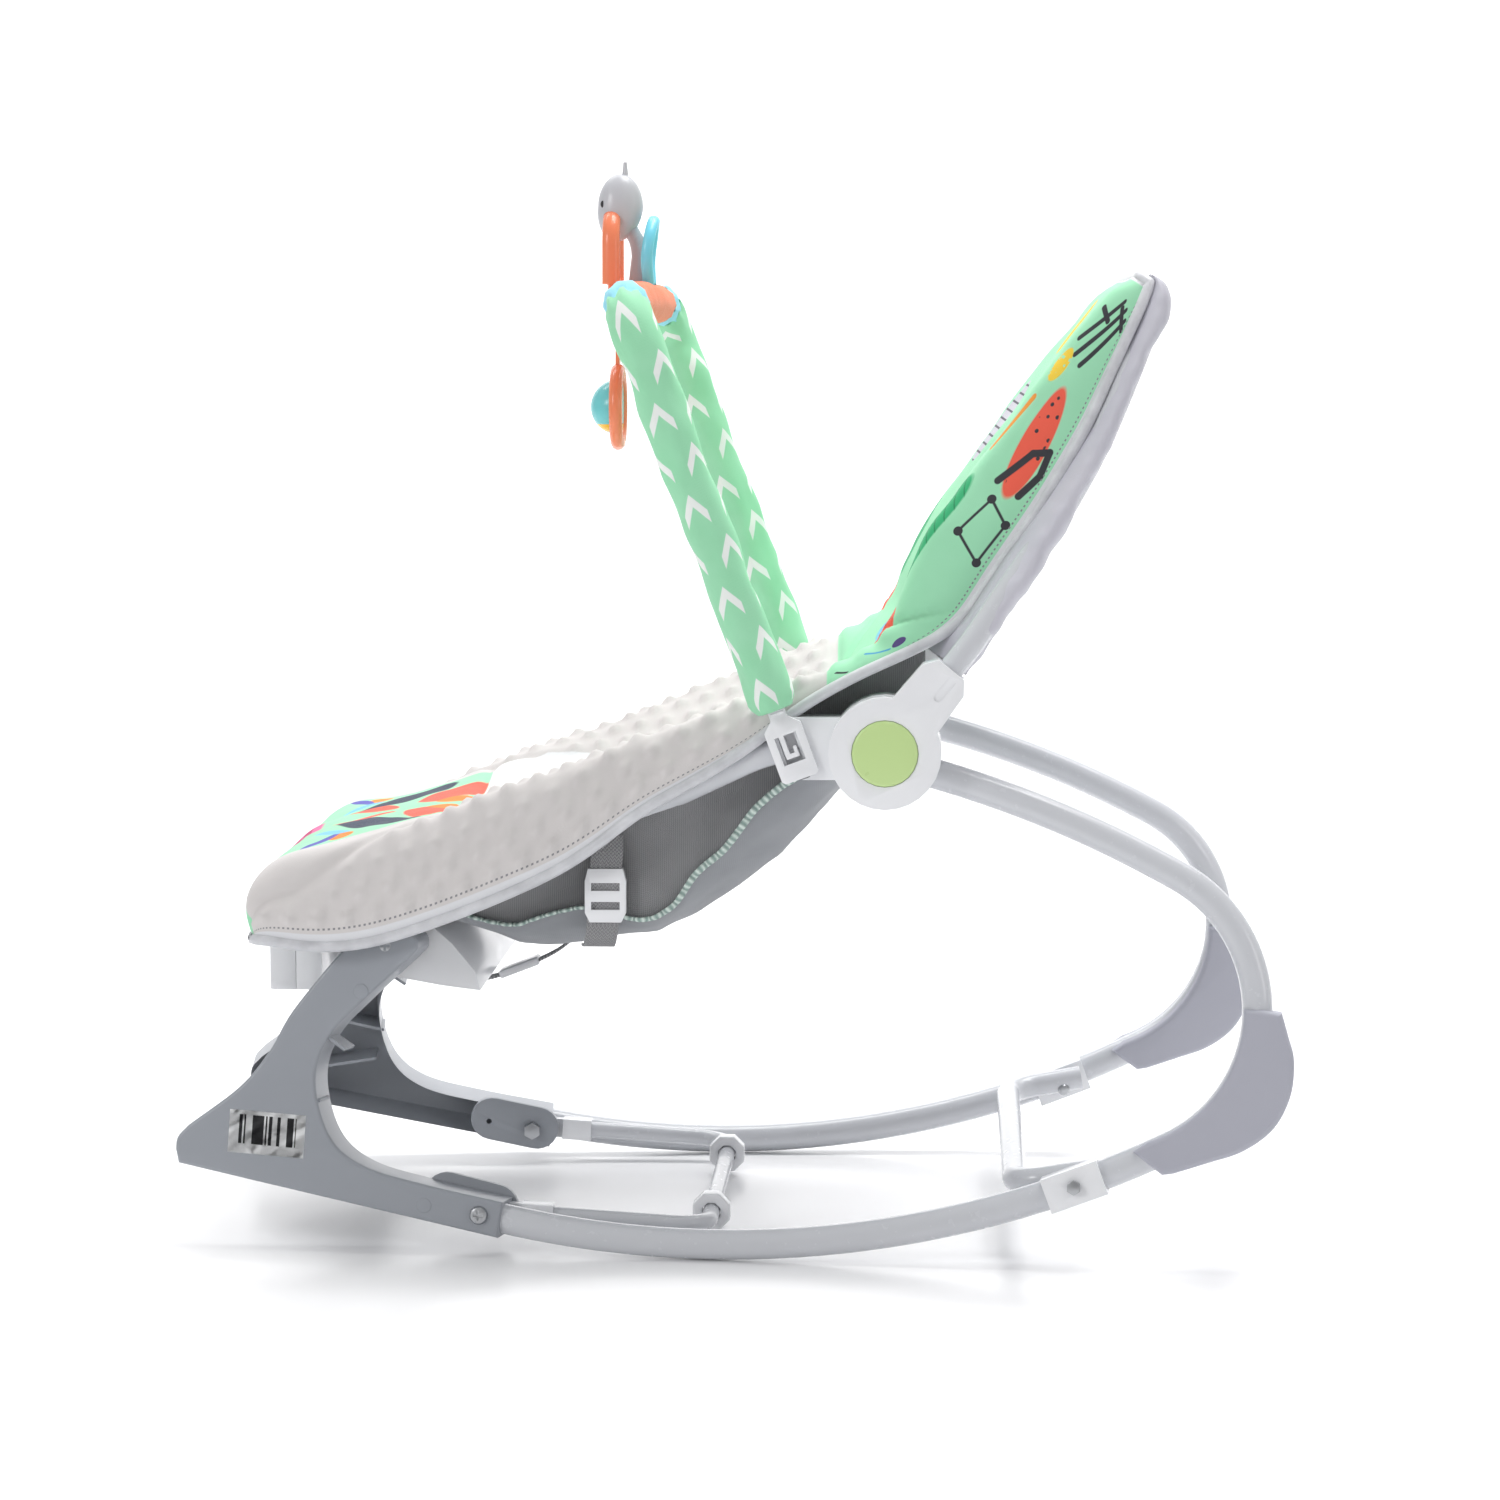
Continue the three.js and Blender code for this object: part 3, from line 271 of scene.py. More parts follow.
def finished(name, bm, material, body=None, stands_for=(), matrix=None, angle=0.6):
    """Turns a bmesh drawn in millimetres into a piece of the object."""
    if matrix is not None:
        bmesh.ops.transform(bm, matrix=matrix, verts=bm.verts)
    bmesh.ops.scale(bm, vec=(MM, MM, MM), verts=bm.verts)
    bmesh.ops.recalc_face_normals(bm, faces=bm.faces)
    smooth_edges(bm, angle)
    piece = bpy.data.objects.new(name, bpy.data.meshes.new(name))
    bm.to_mesh(piece.data)
    bm.free()
    piece.data.materials.append(material.material)
    scene.collection.objects.link(piece)
    if stands_for:
        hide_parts(*stands_for)
    if body:
        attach(piece, body)
    return piece


def woven_grid(across, along, place, joined=False, uv=None):
    """A grid of across by along cells whose points go to place[row, column]; joined closes it round."""
    bm = bmesh.new()
    bmesh.ops.create_grid(bm, x_segments=across, y_segments=along, size=1)
    layer = bm.loops.layers.uv.new("cloth") if uv is not None else None
    cells = {v: (round((v.co.y + 1) / 2 * along), round((v.co.x + 1) / 2 * across)) for v in bm.verts}
    if layer:
        for face in bm.faces:
            for loop in face.loops:
                loop[layer].uv = uv[cells[loop.vert]]
    for vert, cell in cells.items():
        vert.co = place[cell]
    if joined:
        bmesh.ops.remove_doubles(bm, verts=bm.verts, dist=1e-4)
    return bm


def rings_along(path, radii, sides, flat=1.0):
    """Rings of points round a path, turned with it; flat squeezes them in one direction."""
    path = [Vector(p) for p in path]
    tangents = [(b - a).normalized() for a, b in zip(path, path[1:])]
    tangents = [tangents[0]] + [(a + b).normalized() for a, b in zip(tangents, tangents[1:])] + [tangents[-1]]
    side = tangents[0].orthogonal().normalized()
    if abs(tangents[0].y) < 0.9:
        side = (Vector((0, 1, 0)) - tangents[0] * tangents[0].y).normalized()
    rings = np.zeros((len(path), sides + 1, 3))
    for row, (point, tangent) in enumerate(zip(path, tangents)):
        side = (side - tangent * side.dot(tangent)).normalized()
        up = tangent.cross(side)
        for k in range(sides + 1):
            a = 2 * math.pi * (k % sides) / sides
            radius = radii[row][k % sides] if hasattr(radii[row], "__len__") else radii[row]
            rings[row, k] = point + side * (radius * math.cos(a)) + up * (radius * flat * math.sin(a))
    return rings


def tube(path, radius, sides=20, flat=1.0):
    radii = radius if hasattr(radius, "__len__") else [radius] * len(path)
    bm = woven_grid(sides, len(path) - 1, rings_along(path, radii, sides, flat), joined=True)
    bmesh.ops.holes_fill(bm, edges=[e for e in bm.edges if e.is_boundary], sides=sides)
    return bm


tube_paint = Finish("tube_paint", color("cfd1d6"), 0.27, Coat_Weight=0.4, Coat_Roughness=0.08)
tube_paint.set("Roughness", tube_paint.noise(220.0, 2.0) * 0.05 + 0.24)
tube_paint.bump(tube_paint.noise(900.0, 2.0), 0.00003, 0.25)

rocker_path = heading_walk(
    (ROCKER_LOW - ROCKER_RADIUS * math.sin(FRONT_ANGLE) - 46 * math.cos(FRONT_ANGLE), 0,
     rocker_height(ROCKER_LOW - ROCKER_RADIUS * math.sin(FRONT_ANGLE)) + 46 * math.sin(FRONT_ANGLE)),
    -FRONT_ANGLE, [(46, 0, 2), (ROCKER_RADIUS, FRONT_ANGLE + REAR_ANGLE, 60),
                   (94, math.radians(124.7), 44), (700, math.radians(14.2), 20), (4, 0, 1)])
for hand, flip in SIDES:
    finished(f"{hand}_rocker_rail", tube(rocker_path, TUBE_RADIUS, 28), tube_paint, "frame",
             [f"{hand}_rocker_tube"], flip @ SIDE_FRAME)


# ---- Seat, back, cross and kickstand tubes ----------------------------------
# Thinner tubes of the same paint: the seat loop, the back loop in the recline arms, the
# cross bar bolted between the rockers and the wire-like kickstand.
seat_path = round_corners(both_ways([(78, 161, 325, 0), (26, 161, 319, 90), (-128, 131, 244, 300),
                                     (-215, 112, 212, 200), (-296, 104, 203, 36)]))
back_path = round_corners(both_ways([(125, 181, 353, 0), (152.3, 177, 387.5, 90), (225, 152, 494, 420),
                                     (266, 136, 596, 58)]))
cross_path = round_corners(both_ways([(232, 173.4, 57, 0), (181, 170, 48, 22)]))
stand_path = round_corners(both_ways([(-124.8, 150, 22, 0), (-13, 150, 15, 24)]))
for name, path, radius, body, node in (
        ("seat_loop", seat_path, 8.5, "frame", "seat_tube"),
        ("back_loop", back_path, 8, "backrest", "back_tube"),
        ("cross_bar", cross_path, 8, "frame", "rear_crossbar"),
        ("kickstand_wire", stand_path, 5.5, "kickstand", "kickstand_tube")):
    finished(name, tube(path, radius, 20), tube_paint, body, [node])


# ---- Front legs -------------------------------------------------------------
# Injection-moulded grey legs: an open channel with ribs, closed on the outer face, with a
# socket for the rocker tube and a boss at the top for the seat's cross member.
def flowing(points, steps=8):
    """A smooth open line through points (Catmull-Rom)."""
    p = [Vector(q) for q in points]
    p = [2 * p[0] - p[1]] + p + [2 * p[-1] - p[-2]]
    line = []
    for a, b, c, d in zip(p, p[1:], p[2:], p[3:]):
        for k in range(steps):
            t = k / steps
            line.append(0.5 * ((2 * b) + (c - a) * t + (2 * a - 5 * b + 4 * c - d) * t * t
                               + (3 * b - a - 3 * c + d) * t ** 3))
    return line + [p[-2]]


def slab(outline, low, high, edge=1.2, segments=3):
    """A moulded plate: its outline in XZ, from one Y to another, with rounded edges."""
    bm = bmesh.new()
    face = bm.faces.new([bm.verts.new((x, low, z)) for x, z in outline])
    made = bmesh.ops.extrude_face_region(bm, geom=[face])
    moved = [v for v in made["geom"] if isinstance(v, bmesh.types.BMVert)]
    bmesh.ops.translate(bm, vec=(0, high - low, 0), verts=moved)
    bmesh.ops.recalc_face_normals(bm, faces=bm.faces)
    if edge:
        rim = [e for e in bm.edges if abs(e.verts[0].co.y - e.verts[1].co.y) < 1e-3]
        bmesh.ops.bevel(bm, geom=rim, affect="EDGES", offset=edge, segments=segments, profile=0.5,
                        material=-1, clamp_overlap=True)
    return bm


LEG_OUTER, LEG_INNER = 12.0, -24.0
leg_outline = [Vector(p) for p in (
    [(-349, 54)] + flowing([(-351, 60), (-350, 70), (-343, 78)], 4)[1:]
    + flowing([(-343, 78), (-310, 103), (-291, 126), (-276, 152), (-245, 190), (-228, 205), (-213, 208),
               (-200, 203), (-196, 195), (-201, 187), (-231, 159), (-253, 135), (-261, 108), (-252, 74),
               (-230, 55), (-190, 44), (-140, 34)], 7)[1:] + [(-143, 11.5)])]

leg_plastic = Finish("leg_plastic", color("9b9fa6"), 0.34, Specular_IOR_Level=0.45)
leg_plastic.set("Roughness", leg_plastic.noise(45.0, 3.0) * 0.12 + 0.26)
leg_plastic.bump(leg_plastic.noise(1400.0, 2.0), 0.00008, 0.4)


def leg_shell():
    bm = slab(leg_outline, LEG_INNER, LEG_OUTER, edge=0)
    inner = min(bm.faces, key=lambda f: f.calc_center_median().y)
    bmesh.ops.inset_region(bm, faces=[inner], thickness=3.0, depth=0, use_even_offset=True)
    bmesh.ops.translate(bm, vec=(0, LEG_OUTER - 3 - LEG_INNER, 0), verts=list(inner.verts))
    rim = [e for e in bm.edges if all(v.co.y > LEG_OUTER - 0.01 for v in e.verts)]
    bmesh.ops.bevel(bm, geom=rim, affect="EDGES", offset=2.4, segments=4, profile=0.5, material=-1,
                    clamp_overlap=True)
    return bm


def merged(target, *others):
    """Adds other bmeshes to target."""
    for other in others:
        spare = bpy.data.meshes.new("spare")
        other.to_mesh(spare)
        other.free()
        target.from_mesh(spare)
        bpy.data.meshes.remove(spare)
    return target


def rod(radius, low, high, x, z, sides=24, edge=0.0):
    """A round pin along Y."""
    bm = bmesh.new()
    bmesh.ops.create_cone(bm, cap_ends=True, segments=sides, radius1=radius, radius2=radius, depth=high - low)
    bmesh.ops.rotate(bm, matrix=Matrix.Rotation(math.pi / 2, 3, "X"), verts=bm.verts)
    bmesh.ops.translate(bm, vec=(x, (low + high) / 2, z), verts=bm.verts)
    if edge:
        rim = [e for e in bm.edges if abs(e.verts[0].co.y - e.verts[1].co.y) < 1e-3]
        bmesh.ops.bevel(bm, geom=rim, affect="EDGES", offset=edge, segments=3, profile=0.5, material=-1)
    return bm


def block(low, high, edge=0.8):
    bm = bmesh.new()
    bmesh.ops.create_cube(bm, size=1)
    size = Vector(high) - Vector(low)
    bmesh.ops.scale(bm, vec=size, verts=bm.verts)
    bmesh.ops.translate(bm, vec=(Vector(high) + Vector(low)) / 2, verts=bm.verts)
    if edge:
        bmesh.ops.bevel(bm, geom=bm.edges[:], affect="EDGES", offset=edge, segments=2, profile=0.5,
                        material=-1)
    return bm


def leg_rib(x0, z0, x1, z1):
    length = math.hypot(x1 - x0, z1 - z0) + 8
    bm = block((-length / 2, LEG_INNER + 6, -1), (length / 2, LEG_OUTER - 2.9, 1), 0)
    bmesh.ops.rotate(bm, matrix=Matrix.Rotation(-math.atan2(z1 - z0, x1 - x0), 3, "Y"), verts=bm.verts)
    bmesh.ops.translate(bm, vec=((x0 + x1) / 2, 0, (z0 + z1) / 2), verts=bm.verts)
    return bm


for hand, flip in SIDES:
    leg = merged(leg_shell(),
                 rod(7, LEG_INNER, LEG_OUTER - 2, -217, 194), rod(5, LEG_INNER, LEG_OUTER - 2, -185, 26),
                 leg_rib(-322, 66, -268, 74), leg_rib(-296, 104, -262, 96), leg_rib(-272, 148, -246, 130),
                 slab([(-196, 24.4), (-196, 43), (-143, 33), (-145, 13.5)], -10.8, LEG_OUTER - 2, edge=0),
                 rod(4.6, LEG_OUTER - 0.4, LEG_OUTER + 0.35, -190, 31, 24, 0.2),
                 rod(4.6, LEG_OUTER - 0.4, LEG_OUTER + 0.35, -232, 165, 24, 0.2))
    finished(f"{hand}_moulded_leg", leg, leg_plastic, "frame", [f"{hand}_leg"],
             flip @ SIDE_FRAME)


# ---- Moulded and metal small parts ------------------------------------------
# Hub shells, clips, clamps, plates, screws and the vibration box: their edges are eased
# a little, as an ejected moulding's are, and the finish is what each is made of.
def eased(node, material, edge, body=None):
    bm = bmesh.new()
    bm.from_mesh(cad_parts[node].data)
    bmesh.ops.remove_doubles(bm, verts=bm.verts, dist=2e-6)
    bmesh.ops.dissolve_limit(bm, angle_limit=0.02, verts=bm.verts, edges=bm.edges)
    if edge:
        sharp = [e for e in bm.edges if len(e.link_faces) == 2 and e.calc_face_angle(0) > 0.6]
        bmesh.ops.bevel(bm, geom=sharp, affect="EDGES", offset=edge * MM, segments=2, profile=0.5,
                        material=-1, clamp_overlap=True)
    smooth_edges(bm, 0.7)
    piece = bpy.data.objects.new(node + "_moulding", bpy.data.meshes.new(node + "_moulding"))
    bm.to_mesh(piece.data)
    bm.free()
    piece.data.materials.append(material.material)
    scene.collection.objects.link(piece)
    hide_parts(node)
    if body:
        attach(piece, body)
    return piece


white_gloss = Finish("white_gloss", color("f1f2f5"), 0.2, Specular_IOR_Level=0.5)
white_gloss.set("Roughness", white_gloss.noise(35.0, 3.0) * 0.1 + 0.15)
white_gloss.bump(white_gloss.noise(1500.0, 2.0), 0.00004, 0.3)

button_lime = Finish("button_lime", color("c9e49c"), 0.3)
button_lime.set("Roughness", button_lime.noise(120.0, 2.0) * 0.12 + 0.24)

stop_rubber = Finish("stop_rubber", color("b1b2bd"), 0.6)
stop_rubber.set("Roughness", stop_rubber.noise(200.0, 3.0) * 0.2 + 0.5)
stop_rubber.bump(stop_rubber.noise(1800.0, 2.0), 0.00012, 0.5)

zinc = Finish("zinc_steel", color("b9bbbe"), 0.3, metallic=1.0)
zinc.set("Roughness", zinc.noise(500.0, 3.0) * 0.25 + 0.2)

black_plastic = Finish("black_plastic", color("2c2d31"), 0.5)
black_plastic.set("Roughness", black_plastic.noise(300.0, 2.0) * 0.2 + 0.4)

for hand, _ in SIDES:
    for node, material, edge, slot_name, body in (
            ("leg_plate", leg_plastic, 1.0, "leg_plastic", "frame"),
            ("crossbar_clamp", white_gloss, 1.2, "white_plastic", "frame"),
            ("clamp_bolt", zinc, 0.3, "steel", "frame"), ("kickstand_bolt", zinc, 0.2, "steel", "frame"),
            ("leg_screw", zinc, 0.2, "steel", "frame"),
            ("hub_base", white_gloss, 1.0, "white_plastic", "frame"),
            ("hub_bolt", zinc, 0, "steel", "frame"),
            ("side_buckle", white_gloss, 1.2, "white_plastic", "frame"),
            ("kickstand_end", white_gloss, 0.8, "white_plastic", "kickstand"),
            ("kickstand_foot", white_gloss, 0.8, "white_plastic", "kickstand"),
            ("hub_cover", white_gloss, 1.6, "white_plastic", "backrest"),
            ("recline_button", button_lime, 0.5, "button_green", f"{hand}_button"),
            ("lock_gear", black_plastic, 0, "gear_plastic", f"{hand}_button"),
            ("toy_bar_clip", white_gloss, 0.5, "white_plastic", "toy_bar")):
        eased(f"{hand}_{node}", material, edge, body)
    outward_y = 1 if hand == "left" else -1
    coil = eased(f"{hand}_button_spring", zinc, 0)
    outward_y * 0.156
    outward_y * 0.168
    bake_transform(coil)
for node, material, edge, slot_name, body in (
        ("front_bracket", white_gloss, 1.4, "white_plastic", "frame"),
        ("vibration_front_shell", white_gloss, 1.4, "white_plastic", "frame"),
        ("vibration_rear_shell", white_gloss, 1.4, "white_plastic", "frame"),
        ("power_switch", black_plastic, 0.4, "gear_plastic", "power_switch"),
        ("battery", black_plastic, 0.5, "steel", "frame"), ("vibration_motor", zinc, 0.3, "steel", "frame"),
        ("eccentric_weight", zinc, 0.2, "steel", "eccentric_weight"),
        ("toy_bar_tube", white_gloss, 0, "white_plastic", "toy_bar")):
    eased(node, material, edge, body)


# ---- Rear stops --------------------------------------------------------------
# Soft lavender-grey fins slipped over the outside of each rear bend, which stop the seat
# from tipping back.
stop_outline = ([Vector(p) for p in ((254, 75), (260, 70), (266, 65.5), (272, 61), (279, 62))]
                + flowing([(279, 62), (300, 69), (322, 77), (340, 91), (350, 111), (352, 132), (348, 148),
                           (344, 162)], 6)[1:]
                + [Vector((332, 164)), Vector((321, 164))])
arc_centre = Vector((235.1, 162.4))
stop_outline += [arc_centre + Vector((math.cos(a), math.sin(a))) * 86
                 for a in (math.radians(-4 - 4.2 * k) for k in range(17))]
for hand, flip in SIDES:
    finished(f"{hand}_stop_fin", slab(stop_outline, -12.5, 12.5, 3.5, 4), stop_rubber, "frame",
             [f"{hand}_rear_stop"], flip @ SIDE_FRAME)


# ---- Padded cover ------------------------------------------------------------
# One quilted cover lies over both loops: dotted plush at the sides, a white seat panel,
# printed green cotton at the foot end and up the back, and a satin piping round the edge.
PLUSH_HALF = 0.25  # the cover's half width on its cloth map, in metres
HEM = [(-299, 199), (-292, 201), (-268, 195), (-236, 195), (-215, 200), (-186, 210), (-142, 227), (-104, 245),
       (-79, 262), (-66, 275), (-41, 290), (-16, 303), (21, 327), (46, 349), (77, 366), (108, 382)]
CREST = [(-298, 238), (-278, 251), (-246, 254), (-183, 272), (-151, 288), (-104, 304), (-60, 322), (-20, 338),
         (10, 349), (48, 363), (90, 380)]
MIDDLE = [(-298, 236), (-280, 249), (-245, 257), (-200, 265), (-160, 264), (-120, 256), (-80, 250),
          (-41, 249), (10, 270), (48, 306), (84, 345)]
# Rows of the back: hem x and z, crest x and z, how far the middle sinks, half width.
BACK_ROWS = [(118, 384, 98, 388, 22, 163), (146, 399, 108, 414, 24, 161), (166, 430, 126, 452, 22, 158),
             (196, 474, 158, 496, 17, 155), (222, 519, 190, 540, 11, 152), (242, 565, 220, 579, 6, 147),
             (257, 597, 243, 606, 2, 141), (262, 610, 255, 615, 0, 134)]
SECTION = (0, 0.19, 0.37, 0.52, 0.66, 0.8, 0.9, 1.0)
SPREAD = (0, 0.24, 0.46, 0.64, 0.81, 0.945, 0.985, 1.0)
RISE = (0, 0.08, 0.3, 0.66, 0.95, 1.0)


def along_line(line, x):
    return np.interp(x, [p[0] for p in line], [p[1] for p in line])


def cover_stations():
    """Rows of (middle point, crest point, hem point, half width) from the foot end to the top, in XZ."""
    rows = [((-304, 200), (-301, 200), (-299, 199), 163), ((-316, 214), (-306, 218), (-299, 199.5), 167)]
    for x in (-296, -284, -268, -246, -224, -200, -176, -152, -128, -104, -80, -56, -32, -8, 16, 40, 62, 84):
        rows.append(((x - 2, along_line(MIDDLE, x)), (x, along_line(CREST, x)), (x, along_line(HEM, x)), 170))
    for hem_x, hem_z, crest_x, crest_z, sink, half in BACK_ROWS:
        lean = math.atan2(hem_x - crest_x, crest_z - hem_z + 40)
        middle = (crest_x + sink * math.cos(lean), crest_z - sink * math.sin(lean))
        rows.append((middle, (crest_x, crest_z), (hem_x, hem_z), half))
    return rows


def relaxed(points, passes, axis):
    """Evens out neighbouring rows, keeping the first and last."""
    points = np.moveaxis(points, axis, 0).copy()
    for _ in range(passes):
        points[1:-1] = 0.25 * points[:-2] + 0.5 * points[1:-1] + 0.25 * points[2:]
    return np.moveaxis(points, 0, axis)


def cover_surface(across, along):
    """Points of the cover's face before its padding, [row, column], with left at the high columns."""
    rows = cover_stations()
    steps = [0.0]
    for a, b in zip(rows, rows[1:]):
        steps.append(steps[-1] + 0.5 * (math.dist(a[1], b[1]) + math.dist(a[2], b[2])) + 2)
    v = np.linspace(0, steps[-1], along + 1)
    middle, crest, hem = (np.stack([np.interp(v, steps, [r[k][axis] for r in rows]) for axis in (0, 1)], 1)
                          for k in (0, 1, 2))
    half = np.interp(v, steps, [r[3] for r in rows])
    s = np.linspace(-1, 1, across + 1)
    size = np.abs(s)
    rise, spread = np.interp(size, SECTION[:6], RISE), np.interp(size, SECTION, SPREAD)
    drop = np.clip((size - SECTION[5]) / (1 - SECTION[5]), 0, 1)
    top = middle[:, None, :] + (crest - middle)[:, None, :] * rise[None, :, None]
    flat = top + (hem[:, None, :] - top) * drop[None, :, None]
    points = np.zeros((along + 1, across + 1, 3))
    points[..., 0], points[..., 2] = flat[..., 0], flat[..., 1]
    points[..., 1] = half[:, None] * spread[None, :] * np.sign(s)[None, :]
    points = relaxed(points, 26, 0)
    points = relaxed(points, 14, 1)
    points[0, :, 2] = 199.5
    return points, v / steps[-1], s


def normals_of(points):
    along, across = np.gradient(points, axis=0), np.gradient(points, axis=1)
    normal = np.cross(along, across)
    return normal / np.linalg.norm(normal, axis=2, keepdims=True)


def ramp(x, low, high):
    t = np.clip((x - low) / (high - low), 0, 1)
    return t * t * (3 - 2 * t)


def ripple(points, scale, seed=0.0):
    """Smooth noise at each point, from -1 to 1; scale is in millimetres."""
    flat = points.reshape(-1, 3) / scale
    values = [turbulence.noise(Vector((x + seed, y, z))) for x, y, z in flat]
    return np.array(values).reshape(points.shape[:2])


COVER_ACROSS, COVER_ALONG = 168, 236
face, share, s = cover_surface(COVER_ACROSS, COVER_ALONG)
normal = normals_of(face)
side = np.abs(s)[None, :] * np.ones_like(share)[:, None]
row = share[:, None] * np.ones_like(s)[None, :]
length_along = np.concatenate([[0], np.cumsum(np.linalg.norm(np.diff(face, axis=0), axis=2).mean(1))])
length_across = np.concatenate([np.zeros((COVER_ALONG + 1, 1)),
                                np.cumsum(np.linalg.norm(np.diff(face, axis=1), axis=2), 1)], 1)
from_hem = np.minimum(length_across, length_across[:, -1:] - length_across)
run = length_along[:, None] * np.ones_like(s)[None, :]
near_edge = np.minimum(np.minimum(from_hem, run), length_along[-1] - run)
x_here = face[..., 0]

# Soft stuffing: low swells, pulled in at the seams between the panels and near the piping.
swell = 2.6 * ripple(face, 62.0) + 1.5 * ripple(face, 27.0, 4.0)
panel_edge = np.interp(run[:, 0], [0, 60, 190, 320, 400, 480, 560, 800],
                       [0.9, 0.88, 0.6, 0.36, 0.36, 0.75, 1.3, 1.4])
seam = np.exp(-((side - panel_edge[:, None]) / 0.018) ** 2)
FOOT_SEAM = float(np.interp(-178, x_here[:, COVER_ACROSS // 2], length_along))
BACK_SEAM = float(np.interp(62, x_here[:, COVER_ACROSS // 8], length_along))
cross_seams = (np.exp(-((run - FOOT_SEAM) / 5) ** 2) * (side < panel_edge[:, None])
               + np.exp(-((run - BACK_SEAM) / 5) ** 2))
gathers = ramp(run, BACK_SEAM - 70, BACK_SEAM) * (1 - ramp(run, BACK_SEAM + 40, BACK_SEAM + 110))
pleats = gathers * ramp(side, 0.6, 0.85) * np.sin(run / 4.6 + 5 * side) * 1.6
soft = ramp(near_edge, 0, 22)
lift = (3.0 + swell) * soft - 3.4 * seam * soft - 3.0 * cross_seams * soft + pleats * soft

# Raised dots of the plush, in staggered rows.
DOT_PITCH = 19.0
plush_zone = (ramp(side, panel_edge[:, None] + 0.01, panel_edge[:, None] + 0.05)
              * (1 - ramp(run, BACK_SEAM - 12, BACK_SEAM - 4)) * ramp(run, 20, 28))
rows_of_dots = np.round(from_hem / (DOT_PITCH * 0.86))
dx = (run + DOT_PITCH * 0.5 * (rows_of_dots % 2)) % DOT_PITCH - DOT_PITCH / 2
dy = from_hem - rows_of_dots * DOT_PITCH * 0.86
dots = np.exp(-((dx ** 2 + dy ** 2) / 4.3 ** 2) ** 1.6) * plush_zone * ramp(from_hem, 7, 10)
lift += 3.6 * dots

outer = face + normal * lift[..., None]
thick = 2.2 + 8.5 * ramp(near_edge, 0, 30)
inner_face = face - normal * thick[..., None]
cloth_uv = np.stack([s[None, :] * PLUSH_HALF * np.ones_like(row), run * MM], 2)
cover = woven_grid(COVER_ACROSS, COVER_ALONG, outer, uv=cloth_uv)
lining = woven_grid(COVER_ACROSS, COVER_ALONG, inner_face, uv=cloth_uv)
bmesh.ops.reverse_faces(lining, faces=lining.faces)
cover = merged(cover, lining)
bmesh.ops.bridge_loops(cover, edges=[e for e in cover.edges if e.is_boundary])

plush = Finish("cover_cloth", color("d9d6d6"), 0.92, Sheen_Weight=0.08, Sheen_Roughness=0.4)
uv_point = plush.node("UVMap", uv_map="cloth")
u, v = plush.split(uv_point)[:2]
outward = u.math("ABSOLUTE")
foot_seam_v, back_seam_v = FOOT_SEAM * MM, BACK_SEAM * MM
seam_at = plush.node("MapRange", {"Value": v, 1: 0.06, 2: 0.19, 3: 0.88 * PLUSH_HALF, 4: 0.6 * PLUSH_HALF},
                     interpolation_type="LINEAR").math("MINIMUM", plush.node(
                         "MapRange", {"Value": v, 1: 0.2, 2: 0.32, 3: 0.6 * PLUSH_HALF, 4: 0.36 * PLUSH_HALF},
                         interpolation_type="LINEAR"))
in_middle = 1.0 - (outward - seam_at).above(0.0, 0.0012)
foot_part = 1.0 - v.above(foot_seam_v, 0.001)
back_part = v.above(back_seam_v, 0.001)
skirt_front = 1.0 - v.above(0.018, 0.001)
printed = (foot_part * in_middle).math("MAXIMUM", back_part).math("MAXIMUM", skirt_front)
white_part = in_middle * (1.0 - foot_part) * (1.0 - back_part)

MINT, NAVY, CORAL, INK = color("9fe3b9"), color("2f3a52"), color("f4624c"), color("35353b")
weave_tint = plush.noise(55.0, 3.0)
ground = plush.mix(weave_tint * 0.5, color("d6d2d1"), color("e0dcdb"))
ground = plush.mix(white_part, ground, color("eff1f3"))
ground = plush.mix(printed, ground, plush.mix(weave_tint * 0.6, MINT, color("a9e8c2")))


def blob(cu, cv, ru, rv, turn=0.0, soft=0.08):
    """1 inside a turned ellipse at (cu, cv); half widths ru, rv, all in metres of cloth."""
    x, y = outward - cu, v - cv
    c, k = math.cos(turn), math.sin(turn)
    a, b = (x * c + y * k) / ru, (y * c - x * k) / rv
    return 1.0 - (a * a + b * b).math("SQRT").above(1.0 - soft, soft)


def stroke(u0, v0, u1, v1, half):
    """1 on a line between two points of the cloth."""
    x, y = outward - u0, v - v0
    du, dv = u1 - u0, v1 - v0
    t = ((x * du + y * dv) / (du * du + dv * dv)).math("MINIMUM", 1.0).math("MAXIMUM", 0.0)
    x, y = x - t * du, y - t * dv
    return 1.0 - (x * x + y * y).math("SQRT").above(half, 0.0006)


def printed_on(mask, ink):
    global ground
    ground = plush.mix(mask, ground, ink)


# Foot end: broad navy and coral bands, an orange tab and a violet bar; stripes on the front roll.
foot = foot_part * in_middle
for cu, cv, ru, rv, turn, ink in ((0.085, 0.105, 0.062, 0.018, 0.5, NAVY),
                                  (0.075, 0.14, 0.05, 0.016, 0.35, CORAL),
                                  (0.03, 0.09, 0.03, 0.012, -0.6, CORAL),
                                  (0.12, 0.083, 0.018, 0.009, 0.2, color("f58a2e")),
                                  (0.125, 0.07, 0.03, 0.005, -0.35, color("5a57b8")),
                                  (0.04, 0.15, 0.022, 0.012, 0.9, color("f58a2e")),
                                  (0.09, 0.075, 0.02, 0.006, 0.7, color("7fc8e8"))):
    printed_on(blob(cu, cv, ru, rv, turn) * foot, ink)
roll = blob(0.0, 0.03, 0.075, 0.03)
printed_on(roll, color("e76ba0"))
printed_on(roll * ((v * 420.0).math("SINE")).above(0.2, 0.2), color("c2336b"))

